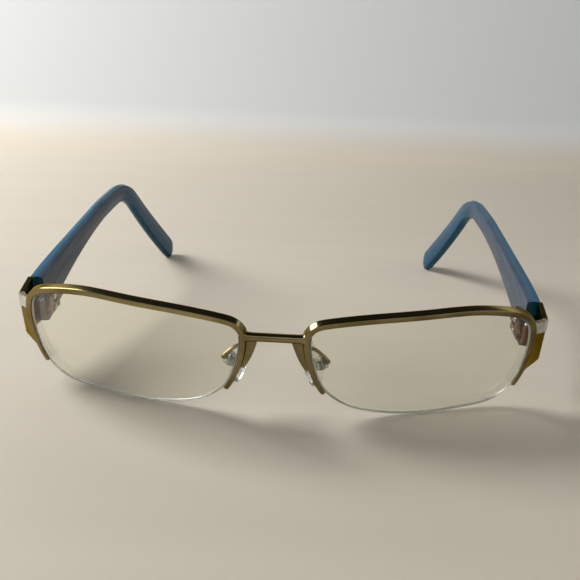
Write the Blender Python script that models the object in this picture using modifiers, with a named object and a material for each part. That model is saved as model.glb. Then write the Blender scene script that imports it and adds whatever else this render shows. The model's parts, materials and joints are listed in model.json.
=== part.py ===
"""Semi-rimless metal eyeglasses with laminated acetate temples, open and standing on a table.

The front faces -Y, the temples run towards +Y and +Z is up. Every piece of the right-hand side (+X) is
modelled once in its own frame and mirrored to the left-hand side. The origin is the centre of the
bottom of the bounding box.
"""

import math

import bmesh
import bpy
from mathutils import Matrix, Vector
from mathutils.geometry import interpolate_bezier

MM = 0.001

# Front: both lenses share one large sphere, whose axis leans back and up by the lean angle.
FRONT_RADIUS = 144.0 * MM
FRONT_LEAN = math.radians(21.8)
LENS_WIDTH = 55.1 * MM
LENS_HEIGHT = 33.5 * MM
BRIDGE_GAP = 15.8 * MM
LENS_LEVEL = 13.4 * MM

# Lens body.
LENS_BACK_RADIUS = 105.0 * MM
LENS_CENTRE_THICKNESS = 1.6 * MM
GROOVE_SETBACK = 0.55 * MM
GROOVE_WIDTH = 0.7 * MM
GROOVE_DEPTH = 0.6 * MM

# Upper eyewire: an open channel that follows the top and both flanks of the lens.
RIM_HEIGHT = 1.45 * MM
RIM_FLANK_HEIGHT = 1.1 * MM
RIM_DEPTH = 2.2 * MM
RIM_PROUD = 0.25 * MM
RIM_CHANNEL_DEPTH = 0.65 * MM
RIM_CHAMFER = 0.35 * MM
RIM_TAPER_LENGTH = 20.0 * MM
NASAL_END_LEVEL = -0.26
TEMPORAL_END_LEVEL = -0.69

# Liner in the channel and nylon cord under the lens.
LINER_WIDTH = 0.5 * MM
LINER_END_STATIONS = 3
CORD_RADIUS = 0.25 * MM

# Bridge bar and the tapered fins under its ends.
BRIDGE_RADIUS = 1.05 * MM
BRIDGE_LEVEL = 12.1 * MM
BRIDGE_SETBACK = 0.8 * MM
FIN_WIDTH = 2.3 * MM
FIN_TIP_WIDTH = 0.5 * MM
FIN_LENGTH = 8.2 * MM
FIN_DEPTH = 1.5 * MM
FIN_SETBACK = 0.6 * MM

# Nose pads and their metal arms.
PAD_PIVOT_OFFSET = Vector((2.2, 7.9, -4.4)) * MM
PAD_ARM_RADIUS = 0.45 * MM
PAD_ARM_LEVEL = 8.2 * MM
PAD_ARM_REACH = 1.7 * MM
PAD_TILT = math.radians(18.0)
PAD_SPLAY = math.radians(28.0)
PAD_SIZE = Vector((2.6, 7.4, 13.0)) * MM
PAD_STANDOFF = 2.5 * MM
PAD_LUG = Vector((1.5, 1.0, 2.2)) * MM
PAD_BOX_WALL = 0.7 * MM
PAD_BOX_WEB = 0.45 * MM
PAD_BOX_HEIGHT = 3.2 * MM
PAD_BOX_FRONT = 0.85 * MM
PAD_SCREW_RADIUS = 0.4 * MM
PAD_SCREW_HEAD_RADIUS = 0.78 * MM
PAD_SCREW_HEAD_HEIGHT = 0.35 * MM

# Endpiece: a bent plate from the temporal flank, round the corner, to the temple.
ENDPIECE_THICKNESS = 1.2 * MM
ENDPIECE_TOP_LEVEL = 8.4 * MM
ENDPIECE_BOTTOM_LEVEL = -7.4 * MM
ENDPIECE_SETBACK = 0.35 * MM
CORNER_TOP_REACH = Vector((5.1, 7.8, -2.1)) * MM
CORNER_BOTTOM_BACK = 4.4 * MM
CORNER_BOTTOM_RISE = 2.2 * MM
CORNER_ROUNDING = 0.2
ACCENT_PAST_CORNER = 0.4 * MM
ACCENT_HEIGHT = 2.7 * MM
ACCENT_PROUD = 0.15 * MM

# Hinge between the endpiece and the temple.
TEMPLE_RISE = math.radians(8.9)
HINGE_OFFSET = Vector((-3.0, 7.1, -5.8)) * MM
HINGE_HEIGHT = 5.7 * MM
KNUCKLE_RADIUS = 1.25 * MM
LEAF_THICKNESS = 1.0 * MM
ARM_STEP = 0.12 * MM
FRONT_LEAF_LENGTH = 2.4 * MM
TEMPLE_LEAF_LENGTH = 7.4 * MM
LEAF_SLOT_LENGTH = 2.6 * MM
LEAF_SLOT_HEIGHT = 0.8 * MM
HINGE_SCREW_RADIUS = 0.6 * MM
HINGE_SCREW_HEAD_RADIUS = 1.05 * MM
HINGE_SCREW_HEAD_HEIGHT = 0.5 * MM
RIVET_RADIUS = 0.5 * MM
RIVET_HEAD_RADIUS = 0.8 * MM
RIVET_HEAD_HEIGHT = 0.4 * MM
RIVET_SPACING = 3.4 * MM
RIVET_ANCHOR = 1.3 * MM
SCREW_SLOT_WIDTH = 0.28 * MM
SCREW_SLOT_DEPTH = 0.22 * MM

# Temple: an acetate blade that narrows to the bend and turns down behind the ear.
TEMPLE_FRONT_HEIGHT = 13.0 * MM
TEMPLE_TOP_ABOVE_HINGE = 7.8 * MM
TEMPLE_MIDDLE_HEIGHT = 6.0 * MM
TEMPLE_TIP_HEIGHT = 8.2 * MM
TEMPLE_FRONT_THICKNESS = 3.8 * MM
TEMPLE_TIP_THICKNESS = 3.2 * MM
TEMPLE_BEND_LENGTH = 81.4 * MM
TEMPLE_DROP_LENGTH = 37.7 * MM
TEMPLE_DROP_ANGLE = math.radians(50.0)
TEMPLE_BEND_RADIUS = 20.0 * MM
TEMPLE_ARCH = 3.6 * MM
TEMPLE_INWARD_BEND = 4.6 * MM
TIP_INWARD_BEND = 8.5 * MM
ENDPIECE_TO_TEMPLE = 0.4 * MM
CORE_WIRE_WIDTH = 1.0 * MM
CORE_WIRE_HEIGHT = 1.8 * MM
CORE_WIRE_LENGTH = 0.86

# Clearances.
FIT_GAP = 0.1 * MM
RUNNING_GAP = 0.07 * MM
WELD_DISTANCE = 0.001 * MM

# Resolution.
OUTLINE_STEPS = 84
TEMPLE_STEPS = 34
ROUND_SEGMENTS = 16

# Lens edge as fractions of half the lens width and height, from the nasal side over the top.
LENS_OUTLINE = (
    (-1.000, 0.688),
    (-0.968, 0.849),
    (-0.870, 0.938),
    (-0.514, 0.999),
    (-0.079, 1.000),
    (0.357, 0.963),
    (0.683, 0.835),
    (0.887, 0.676),
    (0.974, 0.455),
    (1.000, 0.030),
    (0.970, -0.478),
    (0.887, -0.813),
    (0.713, -0.985),
    (0.393, -0.978),
    (0.030, -0.939),
    (-0.315, -0.825),
    (-0.605, -0.646),
    (-0.776, -0.419),
    (-0.870, -0.215),
    (-0.932, 0.036),
    (-0.979, 0.329),
)

MIRROR_X = Matrix.Scale(-1.0, 4, Vector((1.0, 0.0, 0.0)))


# Scene set-up ---------------------------------------------------------------------------------

def clear_scene():
    """Remove every object and leave the file open."""
    for obj in list(bpy.data.objects):
        bpy.data.objects.remove(obj, do_unlink=True)


def make_collection(name):
    """Return a new collection linked to the scene."""
    collection = bpy.data.collections.new(name)
    bpy.context.scene.collection.children.link(collection)
    return collection


clear_scene()
PARTS = make_collection("eyeglasses")
CUTTERS = make_collection("cutters")


def make_material(name, colour, roughness, metallic=0.0, transmission=0.0):
    """Return a Principled BSDF material."""
    material = bpy.data.materials.new(name)
    material.use_nodes = True
    shader = material.node_tree.nodes["Principled BSDF"]
    shader.inputs["Base Color"].default_value = (*colour, 1.0)
    shader.inputs["Roughness"].default_value = roughness
    shader.inputs["Metallic"].default_value = metallic
    shader.inputs["Transmission Weight"].default_value = transmission
    material.diffuse_color = (*colour, 1.0)
    return material


GOLD = make_material("antique_gold", (0.36, 0.29, 0.14), 0.28, metallic=1.0)
SILVER = make_material("silver_accent", (0.62, 0.64, 0.62), 0.2, metallic=1.0)
BRONZE = make_material("hinge_bronze", (0.32, 0.2, 0.12), 0.35, metallic=1.0)
STEEL = make_material("screw_steel", (0.6, 0.6, 0.6), 0.25, metallic=1.0)
ACETATE = make_material("blue_acetate", (0.03, 0.15, 0.27), 0.18)
LENS = make_material("lens_glass", (0.93, 0.96, 0.88), 0.03, transmission=1.0)
NYLON = make_material("nylon", (0.8, 0.82, 0.78), 0.35, transmission=0.6)
SILICONE = make_material("clear_silicone", (0.88, 0.9, 0.86), 0.25, transmission=0.9)


def make_empty(name, matrix, parent=None):
    """Return an empty placed by a matrix relative to its parent."""
    empty = bpy.data.objects.new(name, None)
    empty.empty_display_size = 5.0 * MM
    PARTS.objects.link(empty)
    empty.parent = parent
    empty.matrix_local = matrix
    return empty


def add_object(name, mesh, material, parent, collection=PARTS):
    """Link a mesh as a named object under a parent."""
    obj = bpy.data.objects.new(name, mesh)
    collection.objects.link(obj)
    obj.parent = parent
    mesh.materials.clear()
    if material is not None:
        mesh.materials.append(material)
    return obj


def shade_smooth_by_angle(mesh, degrees=35.0):
    """Smooth round faces and keep the real edges sharp."""
    mesh.shade_smooth()
    mesh.set_sharp_from_angle(angle=math.radians(degrees))


# Curves and outlines --------------------------------------------------------------------------

def smooth_curve(points, closed=False, steps=8):
    """Return a dense polyline that passes smoothly through the points."""
    count = len(points)
    last = count if closed else count - 1
    result = []
    for index in range(last):
        start = points[index]
        end = points[(index + 1) % count]
        before = points[index - 1] if closed or index > 0 else start
        after = points[(index + 2) % count] if closed or index + 2 < count else end
        handle_a = start + (end - before) / 6.0
        handle_b = end - (after - start) / 6.0
        piece = interpolate_bezier(start, handle_a, handle_b, end, steps + 1)
        result.extend(piece[:-1])
    if not closed:
        result.append(points[-1].copy())
    return result


def resample(points, count):
    """Return the given number of points spaced evenly along an open polyline."""
    lengths = [0.0]
    for first, second in zip(points, points[1:]):
        lengths.append(lengths[-1] + (second - first).length)
    result = []
    index = 0
    for step in range(count):
        target = lengths[-1] * step / (count - 1)
        while index < len(points) - 2 and lengths[index + 1] < target:
            index += 1
        span = lengths[index + 1] - lengths[index]
        share = (target - lengths[index]) / span
        result.append(points[index].lerp(points[index + 1], share))
    return result


def path_length(points):
    """Return the length of a polyline."""
    return sum((b - a).length for a, b in zip(points, points[1:]))


def lens_outline():
    """Return evenly spaced points round the lens edge, from the eyewire's nasal end over the top."""
    half = Vector((LENS_WIDTH / 2.0, LENS_HEIGHT / 2.0))
    corners = [Vector((x * half.x, z * half.y)) for x, z in LENS_OUTLINE]
    dense = smooth_curve(corners, closed=True, steps=16)
    level = NASAL_END_LEVEL * half.y
    nasal = [i for i, p in enumerate(dense) if p.x < 0.0]
    start = min(nasal, key=lambda i: abs(dense[i].y - level))
    ordered = dense[start:] + dense[:start + 1]
    return resample(ordered, OUTLINE_STEPS + 1)[:-1]


def outline_normals(points):
    """Return the outward unit normals of the closed outline, which runs clockwise from the front."""
    normals = []
    for index in range(len(points)):
        tangent = (points[(index + 1) % len(points)] - points[index - 1]).normalized()
        normals.append(Vector((-tangent.y, tangent.x)))
    return normals


OUTLINE = lens_outline()
NORMALS = outline_normals(OUTLINE)


def temporal_end_station():
    """Return the outline station where the eyewire's temporal end lies."""
    level = TEMPORAL_END_LEVEL * LENS_HEIGHT / 2.0
    temporal = [i for i, p in enumerate(OUTLINE) if p.x > 0.0]
    return min(temporal, key=lambda i: abs(OUTLINE[i].y - level))


RIM_STATIONS = list(range(temporal_end_station() + 1))


def sag(point, radius):
    """Return how far a sphere has fallen back from its tangent plane at a point."""
    return radius - math.sqrt(radius * radius - point.x * point.x - point.y * point.y)


def on_front(point, normal, outward, depth):
    """Return a point in the lens frame: beside the outline, behind the front sphere."""
    place = point + normal * outward
    return Vector((place.x, sag(point, FRONT_RADIUS) + depth, place.y))


def rim_height(station):
    """Return the eyewire's height at a station; it narrows towards its two ends."""
    spacing = (OUTLINE[1] - OUTLINE[0]).length
    distance = min(station, RIM_STATIONS[-1] - station) * spacing
    share = min(distance / RIM_TAPER_LENGTH, 1.0)
    blend = share * share * (3.0 - 2.0 * share)
    return RIM_FLANK_HEIGHT + (RIM_HEIGHT - RIM_FLANK_HEIGHT) * blend


def flank_stations(temporal):
    """Return the eyewire's stations on one flank, from the top down."""
    side = [i for i in RIM_STATIONS if (OUTLINE[i].x > 0.0) == temporal]
    return side if temporal else side[::-1]


def flank_at(level, temporal):
    """Return the outline point, normal and eyewire height at a level on one flank."""
    side = [i for i in flank_stations(temporal) if abs(OUTLINE[i].x) > LENS_WIDTH * 0.3]
    for upper, lower in zip(side, side[1:]):
        high = OUTLINE[upper].y
        low = OUTLINE[lower].y
        if low <= level <= high:
            share = (high - level) / (high - low)
            point = OUTLINE[upper].lerp(OUTLINE[lower], share)
            normal = NORMALS[upper].lerp(NORMALS[lower], share)
            height = rim_height(upper) + (rim_height(lower) - rim_height(upper)) * share
            return point, normal, height
    raise ValueError("the flank does not reach this level")


def flank_rows(top, bottom, temporal):
    """Return the outline point, normal and eyewire height at the stations between two levels."""
    rows = [flank_at(top, temporal)]
    for station in flank_stations(temporal):
        point = OUTLINE[station]
        if abs(point.x) > LENS_WIDTH * 0.3 and bottom + 0.2 * MM < point.y < top - 0.2 * MM:
            rows.append((point, NORMALS[station], rim_height(station)))
    rows.append(flank_at(bottom, temporal))
    return rows


# Solids ---------------------------------------------------------------------------------------

def loft(name, rings, material, parent, closed=False, poles=None, collection=PARTS):
    """Join rings of equal length into one solid, with flat caps, poles, or closed on itself."""
    mesh = bpy.data.meshes.new(name)
    bm = bmesh.new()
    loops = [[bm.verts.new(point) for point in ring] for ring in rings]
    pairs = list(zip(loops, loops[1:]))
    if closed:
        pairs.append((loops[-1], loops[0]))
    for first, second in pairs:
        for index in range(len(first)):
            after = (index + 1) % len(first)
            bm.faces.new((first[index], first[after], second[after], second[index]))
    if poles is not None:
        for pole, ring in ((poles[0], loops[0]), (poles[1], loops[-1])):
            tip = bm.verts.new(pole)
            for index, vert in enumerate(ring):
                bm.faces.new((vert, ring[(index + 1) % len(ring)], tip))
    elif not closed:
        bm.faces.new(loops[0])
        bm.faces.new(loops[-1])
    bmesh.ops.recalc_face_normals(bm, faces=bm.faces)
    bm.to_mesh(mesh)
    bm.free()
    shade_smooth_by_angle(mesh)
    return add_object(name, mesh, material, parent, collection)


def tube(name, points, radius, material, parent, segments=2, collection=PARTS):
    """Sweep a round section along a polyline and return it as a welded mesh."""
    curve = bpy.data.curves.new(name, "CURVE")
    curve.dimensions = "3D"
    curve.bevel_depth = radius
    curve.bevel_resolution = segments
    curve.use_fill_caps = True
    spline = curve.splines.new("POLY")
    spline.points.add(len(points) - 1)
    for target, point in zip(spline.points, points):
        target.co = (*point, 1.0)
    guide = bpy.data.objects.new(name + "_curve", curve)
    collection.objects.link(guide)
    mesh = bpy.data.meshes.new_from_object(guide.evaluated_get(bpy.context.evaluated_depsgraph_get()))
    bpy.data.objects.remove(guide, do_unlink=True)
    weld(mesh)
    shade_smooth_by_angle(mesh)
    return add_object(name, mesh, material, parent, collection)


def box(name, low, high, material, parent, bevel=0.0, collection=PARTS):
    """Add a box between two corners, with an optional rounding of its edges."""
    low = Vector(low)
    high = Vector(high)
    mesh = bpy.data.meshes.new(name)
    bm = bmesh.new()
    bmesh.ops.create_cube(bm, size=1.0)
    size = high - low
    bmesh.ops.scale(bm, vec=size, verts=bm.verts)
    bmesh.ops.translate(bm, vec=(low + high) / 2.0, verts=bm.verts)
    bm.to_mesh(mesh)
    bm.free()
    obj = add_object(name, mesh, material, parent, collection)
    if bevel > 0.0:
        modifier = obj.modifiers.new("edge rounding", "BEVEL")
        modifier.width = bevel
        modifier.segments = 2
    return obj


AXIS_TURNS = {
    "X": Matrix.Rotation(math.radians(90.0), 4, "Y"),
    "Y": Matrix.Rotation(math.radians(-90.0), 4, "X"),
    "Z": Matrix.Identity(4),
}


def turned(name, profile, axis, material, parent, collection=PARTS):
    """Turn a profile of (radius, position) pairs about an axis; the profile starts and ends on it."""
    rings = []
    for radius, position in profile[1:-1]:
        angles = [2.0 * math.pi * (step + 0.5) / ROUND_SEGMENTS for step in range(ROUND_SEGMENTS)]
        rings.append([Vector((radius * math.cos(a), radius * math.sin(a), position)) for a in angles])
    poles = (Vector((0.0, 0.0, profile[0][1])), Vector((0.0, 0.0, profile[-1][1])))
    obj = loft(name, rings, material, parent, poles=poles, collection=collection)
    obj.data.transform(AXIS_TURNS[axis])
    return obj


def cylinder(name, radius, low, high, axis, material=None, parent=None, collection=CUTTERS):
    """Add a cylinder about a local axis between two positions on it."""
    profile = ((0.0, low), (radius, low), (radius, high), (0.0, high))
    return turned(name, profile, axis, material, parent, collection)


def weld(mesh):
    """Merge points that lie on each other and drop slivers."""
    bm = bmesh.new()
    bm.from_mesh(mesh)
    bmesh.ops.remove_doubles(bm, verts=bm.verts, dist=WELD_DISTANCE)
    bmesh.ops.dissolve_degenerate(bm, dist=WELD_DISTANCE, edges=bm.edges)
    bmesh.ops.recalc_face_normals(bm, faces=bm.faces)
    bm.to_mesh(mesh)
    bm.free()


def boolean(obj, tools, operation="DIFFERENCE"):
    """Cut or join tools in their object's own frame, then apply the result and hide the tools."""
    for tool in tools:
        tool.parent = obj.parent
        tool.hide_render = True
        tool.display_type = "WIRE"
        modifier = obj.modifiers.new(tool.name, "BOOLEAN")
        modifier.operation = operation
        modifier.object = tool
    bpy.context.view_layer.update()
    depsgraph = bpy.context.evaluated_depsgraph_get()
    mesh = bpy.data.meshes.new_from_object(obj.evaluated_get(depsgraph))
    weld(mesh)
    obj.modifiers.clear()
    old = obj.data
    obj.data = mesh
    mesh.name = old.name
    bpy.data.meshes.remove(old)
    return obj


def join(obj, tools):
    """Unite tools with an object and remove them."""
    boolean(obj, tools, operation="UNION")
    for tool in tools:
        bpy.data.objects.remove(tool, do_unlink=True)
    return obj


# Frames ---------------------------------------------------------------------------------------

def frame_matrix(x_axis, y_axis, z_axis, origin):
    """Return the matrix of a frame from its axes and origin."""
    rotation = Matrix((x_axis, y_axis, z_axis)).transposed()
    return Matrix.Translation(origin) @ rotation.to_4x4()


def lens_frame():
    """Return the right lens's frame: X to the temple, Y into the depth, Z up the lens."""
    lean = Vector((0.0, math.cos(FRONT_LEAN), math.sin(FRONT_LEAN)))
    touch = Vector((0.0, -math.tan(FRONT_LEAN) * LENS_LEVEL, LENS_LEVEL))
    centre = touch + lean * FRONT_RADIUS
    x = BRIDGE_GAP / 2.0 + LENS_WIDTH / 2.0
    rise = LENS_LEVEL - centre.z
    origin = Vector((x, centre.y - math.sqrt(FRONT_RADIUS**2 - x**2 - rise**2), LENS_LEVEL))
    depth = (centre - origin).normalized()
    across = (Vector((1.0, 0.0, 0.0)) - depth * depth.x).normalized()
    return frame_matrix(across, depth, across.cross(depth), origin)


LENS_FRAME = lens_frame()


def beside_flank(row, setback):
    """Return the place one fit gap outside the eyewire's flank, in the whole object's frame."""
    point, normal, height = row
    return LENS_FRAME @ on_front(point, normal, height + FIT_GAP, setback)


CORNER_TOP = beside_flank(flank_at(ENDPIECE_TOP_LEVEL, True), ENDPIECE_SETBACK) + CORNER_TOP_REACH
HINGE_ORIGIN = CORNER_TOP + HINGE_OFFSET
TEMPLE_FRAME = Matrix.Translation(HINGE_ORIGIN) @ Matrix.Rotation(TEMPLE_RISE, 4, "X")


def pad_anchor(outward, depth):
    """Return a place by the nasal flank where the pad arm starts."""
    point, normal, _ = flank_at(PAD_ARM_LEVEL, False)
    return LENS_FRAME @ on_front(point, normal, outward, depth)


def pad_frame():
    """Return the right pad's frame: X away from the nose, Y back along the screw, Z up the pad."""
    turn = Matrix.Rotation(-PAD_SPLAY, 3, "Z") @ Matrix.Rotation(-PAD_TILT, 3, "Y")
    origin = pad_anchor(0.0, 0.0) + PAD_PIVOT_OFFSET
    return Matrix.Translation(origin) @ turn.to_4x4()


PAD_FRAME = pad_frame()

ROOT = make_empty("eyeglasses_root", Matrix.Identity(4))
LENS_EMPTY = make_empty("right_lens_frame", LENS_FRAME, ROOT)
HINGE_EMPTY = make_empty("right_temple_axis", TEMPLE_FRAME, ROOT)
PAD_EMPTY = make_empty("right_pad_axis", PAD_FRAME, ROOT)


# Front ----------------------------------------------------------------------------------------

def sweep_outline(name, stations, profile_at, material, parent, collection=PARTS):
    """Sweep a section past stations of the outline; the section may change on the way."""
    rings = []
    for station in stations:
        index = station % OUTLINE_STEPS
        profile = profile_at(station)
        rings.append([on_front(OUTLINE[index], NORMALS[index], outward, depth) for outward, depth in profile])
    return loft(name, rings, material, parent, collection=collection)


def rim_profile(station):
    """Return the eyewire's C-shaped section, open towards the lens."""
    height = rim_height(station)
    front = -RIM_PROUD
    back = RIM_DEPTH - RIM_PROUD
    slot_front = GROOVE_SETBACK
    slot_back = GROOVE_SETBACK + GROOVE_WIDTH
    return (
        (FIT_GAP, front),
        (height - RIM_CHAMFER, front),
        (height, front + RIM_CHAMFER),
        (height, back - RIM_CHAMFER),
        (height - RIM_CHAMFER, back),
        (FIT_GAP, back),
        (FIT_GAP, slot_back),
        (RIM_CHANNEL_DEPTH, slot_back),
        (RIM_CHANNEL_DEPTH, slot_front),
        (FIT_GAP, slot_front),
    )


def liner_profile(_station):
    """Return the liner's section: it fills the channel and enters the lens groove."""
    middle = GROOVE_SETBACK + GROOVE_WIDTH / 2.0
    outer = RIM_CHANNEL_DEPTH - FIT_GAP
    inner = FIT_GAP - GROOVE_DEPTH
    half = LINER_WIDTH / 2.0
    return ((inner, middle - half), (outer, middle - half), (outer, middle + half), (inner, middle + half))


def clearance_profile(station):
    """Return a solid section one fit gap larger than the eyewire's outside."""
    front = -RIM_PROUD - FIT_GAP
    back = RIM_DEPTH - RIM_PROUD + FIT_GAP
    outer = rim_height(station) + FIT_GAP
    return ((-RIM_HEIGHT, front), (outer, front), (outer, back), (-RIM_HEIGHT, back))


def add_eyewire():
    """Add the channel-section eyewire."""
    sweep_outline("right_eyewire", RIM_STATIONS, rim_profile, GOLD, LENS_EMPTY)


def add_rim_liner():
    """Add the nylon liner that seats the lens in the eyewire."""
    stations = RIM_STATIONS[LINER_END_STATIONS:-LINER_END_STATIONS]
    sweep_outline("right_rim_liner", stations, liner_profile, NYLON, LENS_EMPTY)


def add_lens():
    """Add the minus lens with its edge groove, as rings from one pole to the other."""

    def surface_ring(scale, radius, offset):
        places = [point * scale for point in OUTLINE]
        return [Vector((p.x, sag(p, radius) + offset, p.y)) for p in places]

    def edge_ring(outward, depth):
        return [on_front(point, normal, outward, depth) for point, normal in zip(OUTLINE, NORMALS)]

    groove_back = GROOVE_SETBACK + GROOVE_WIDTH
    rings = [
        surface_ring(0.35, FRONT_RADIUS, 0.0),
        surface_ring(0.7, FRONT_RADIUS, 0.0),
        surface_ring(1.0, FRONT_RADIUS, 0.0),
        edge_ring(0.0, GROOVE_SETBACK),
        edge_ring(-GROOVE_DEPTH, GROOVE_SETBACK),
        edge_ring(-GROOVE_DEPTH, groove_back),
        edge_ring(0.0, groove_back),
        surface_ring(1.0, LENS_BACK_RADIUS, LENS_CENTRE_THICKNESS),
        surface_ring(0.7, LENS_BACK_RADIUS, LENS_CENTRE_THICKNESS),
        surface_ring(0.35, LENS_BACK_RADIUS, LENS_CENTRE_THICKNESS),
    ]
    poles = (Vector((0.0, 0.0, 0.0)), Vector((0.0, LENS_CENTRE_THICKNESS, 0.0)))
    loft("right_lens", rings, LENS, LENS_EMPTY, poles=poles)


def add_nylon_cord():
    """Add the cord that lies in the groove under the lens and ends inside the eyewire."""
    middle = GROOVE_SETBACK + GROOVE_WIDTH / 2.0
    inset = GROOVE_DEPTH - CORD_RADIUS - FIT_GAP
    places = []
    for station in range(RIM_STATIONS[-1] - 1, OUTLINE_STEPS + 2):
        index = station % OUTLINE_STEPS
        places.append(on_front(OUTLINE[index], NORMALS[index], -inset, middle))
    tube("right_nylon_cord", places, CORD_RADIUS, NYLON, LENS_EMPTY, segments=1)


def add_bridge():
    """Add the round bar between the eyewires, its ends cut to their flanks."""
    point, normal, _ = flank_at(BRIDGE_LEVEL, False)
    end = LENS_FRAME @ on_front(point, normal, 0.0, BRIDGE_SETBACK)
    points = [Vector((-end.x, end.y, end.z)), end]
    bar = tube("bridge", points, BRIDGE_RADIUS, GOLD, ROOT, segments=4)
    nasal = flank_stations(False)[::-1]
    right_tool = sweep_outline("bridge_cut_right", nasal, clearance_profile, None, ROOT, CUTTERS)
    right_tool.data.transform(LENS_FRAME)
    left_tool = sweep_outline("bridge_cut_left", nasal, clearance_profile, None, ROOT, CUTTERS)
    left_tool.data.transform(MIRROR_X @ LENS_FRAME)
    left_tool.data.flip_normals()
    boolean(bar, [right_tool, left_tool])


def add_nasal_fin():
    """Add the tapered plate that hangs from the bridge end along the nasal flank."""
    top = BRIDGE_LEVEL - BRIDGE_RADIUS - 2.0 * FIT_GAP
    rows = flank_rows(top, top - FIN_LENGTH, False)
    rings = []
    for index, (point, normal, height) in enumerate(rows):
        share = 1.0 - index / (len(rows) - 1)
        width = FIN_TIP_WIDTH + (FIN_WIDTH - FIN_TIP_WIDTH) * share**0.8
        inner = height + FIT_GAP
        back = FIN_SETBACK + FIN_DEPTH
        corners = ((inner, FIN_SETBACK), (inner + width, FIN_SETBACK), (inner + width, back), (inner, back))
        rings.append([on_front(point, normal, outward, depth) for outward, depth in corners])
    loft("right_nasal_fin", rings, GOLD, LENS_EMPTY)


# Nose pad -------------------------------------------------------------------------------------

def pad_box_size():
    """Return the outer half width of the pad box along its screw and its depth behind the pivot."""
    half_width = PAD_LUG.y / 2.0 + FIT_GAP + PAD_BOX_WALL
    back = PAD_LUG.x / 2.0 + 0.2 * MM + PAD_BOX_WEB
    return half_width, back


def add_pad_arm():
    """Add the wire that carries the pad box behind the nasal flank."""
    _, back = pad_box_size()
    backwards = LENS_FRAME.to_3x3() @ Vector((0.0, 1.0, 0.0))
    start = pad_anchor(RIM_FLANK_HEIGHT / 2.0, RIM_DEPTH - RIM_PROUD + FIT_GAP)
    outward = PAD_FRAME.to_3x3() @ Vector((1.0, 0.0, 0.0))
    end = PAD_FRAME.translation + outward * (back + FIT_GAP)
    past_lens = start + backwards * PAD_ARM_REACH
    before_box = end + outward * 1.1 * MM
    bends = [
        start.lerp(past_lens, 0.35),
        past_lens,
        past_lens.lerp(before_box, 0.5) + backwards * PAD_ARM_REACH,
        before_box,
        before_box.lerp(end, 0.55),
    ]
    points = [start] + smooth_curve(bends, steps=4) + [end]
    tube("right_pad_arm", points, PAD_ARM_RADIUS, GOLD, ROOT, segments=1)


def add_pad_box():
    """Add the small clevis that holds the pad's lug."""
    half_width, back = pad_box_size()
    half_height = PAD_BOX_HEIGHT / 2.0
    shell = box(
        "right_pad_box",
        (-PAD_BOX_FRONT, -half_width, -half_height),
        (back, half_width, half_height),
        STEEL,
        PAD_EMPTY,
        bevel=0.25 * MM,
    )
    slot = box(
        "pad_box_slot",
        (-2.0 * PAD_BOX_FRONT, -PAD_LUG.y / 2.0 - FIT_GAP, -PAD_BOX_HEIGHT),
        (back - PAD_BOX_WEB, PAD_LUG.y / 2.0 + FIT_GAP, PAD_BOX_HEIGHT),
        None,
        PAD_EMPTY,
        collection=CUTTERS,
    )
    bore = cylinder("pad_box_bore", PAD_SCREW_RADIUS + RUNNING_GAP, -2.0 * half_width, 2.0 * half_width, "Y")
    boolean(shell, [slot, bore])


def slotted_screw(name, profile, head_face, head_radius, axis, parent):
    """Add a turned screw and cut a driver slot into its head."""
    screw = turned(name, profile, axis, STEEL, parent)
    reach = head_radius * 1.5
    half = SCREW_SLOT_WIDTH / 2.0
    low = (-half, -reach, head_face - SCREW_SLOT_DEPTH)
    high = (half, reach, head_face + SCREW_SLOT_DEPTH)
    slot = box(name + "_slot", low, high, None, parent, collection=CUTTERS)
    slot.data.transform(AXIS_TURNS[axis])
    boolean(screw, [slot])


def add_pad_screw():
    """Add the screw that the pad rocks on; its head faces forwards."""
    half_width, _ = pad_box_size()
    face = -half_width - FIT_GAP
    head = face - PAD_SCREW_HEAD_HEIGHT
    chamfer = 0.1 * MM
    profile = (
        (0.0, head),
        (PAD_SCREW_HEAD_RADIUS - chamfer, head),
        (PAD_SCREW_HEAD_RADIUS, head + chamfer),
        (PAD_SCREW_HEAD_RADIUS, face),
        (PAD_SCREW_RADIUS, face),
        (PAD_SCREW_RADIUS, half_width),
        (0.0, half_width),
    )
    slotted_screw("right_pad_screw", profile, head, PAD_SCREW_HEAD_RADIUS, "Y", PAD_EMPTY)


def add_nose_pad():
    """Add the drop-shaped silicone pad with its mounting lug."""
    mesh = bpy.data.meshes.new("right_nose_pad")
    bm = bmesh.new()
    bmesh.ops.create_uvsphere(bm, u_segments=18, v_segments=10, radius=0.5)
    for vert in bm.verts:
        height = vert.co.z * 2.0
        taper = 1.0 - 0.22 * height
        cup = 0.5 * vert.co.y * vert.co.y
        vert.co.x = (vert.co.x + cup) * PAD_SIZE.x - PAD_STANDOFF
        vert.co.y = vert.co.y * taper * PAD_SIZE.y
        vert.co.z = vert.co.z * PAD_SIZE.z
    bm.to_mesh(mesh)
    bm.free()
    shade_smooth_by_angle(mesh, 60.0)
    pad = add_object("right_nose_pad", mesh, SILICONE, PAD_EMPTY)
    low = (-PAD_STANDOFF, -PAD_LUG.y / 2.0, -PAD_LUG.z / 2.0)
    high = (PAD_LUG.x / 2.0, PAD_LUG.y / 2.0, PAD_LUG.z / 2.0)
    lug = box("pad_lug", low, high, SILICONE, PAD_EMPTY)
    join(pad, [lug])
    bore = cylinder("pad_bore", PAD_SCREW_RADIUS + RUNNING_GAP, -PAD_LUG.y, PAD_LUG.y, "Y")
    boolean(pad, [bore])


# Endpiece -------------------------------------------------------------------------------------

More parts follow.
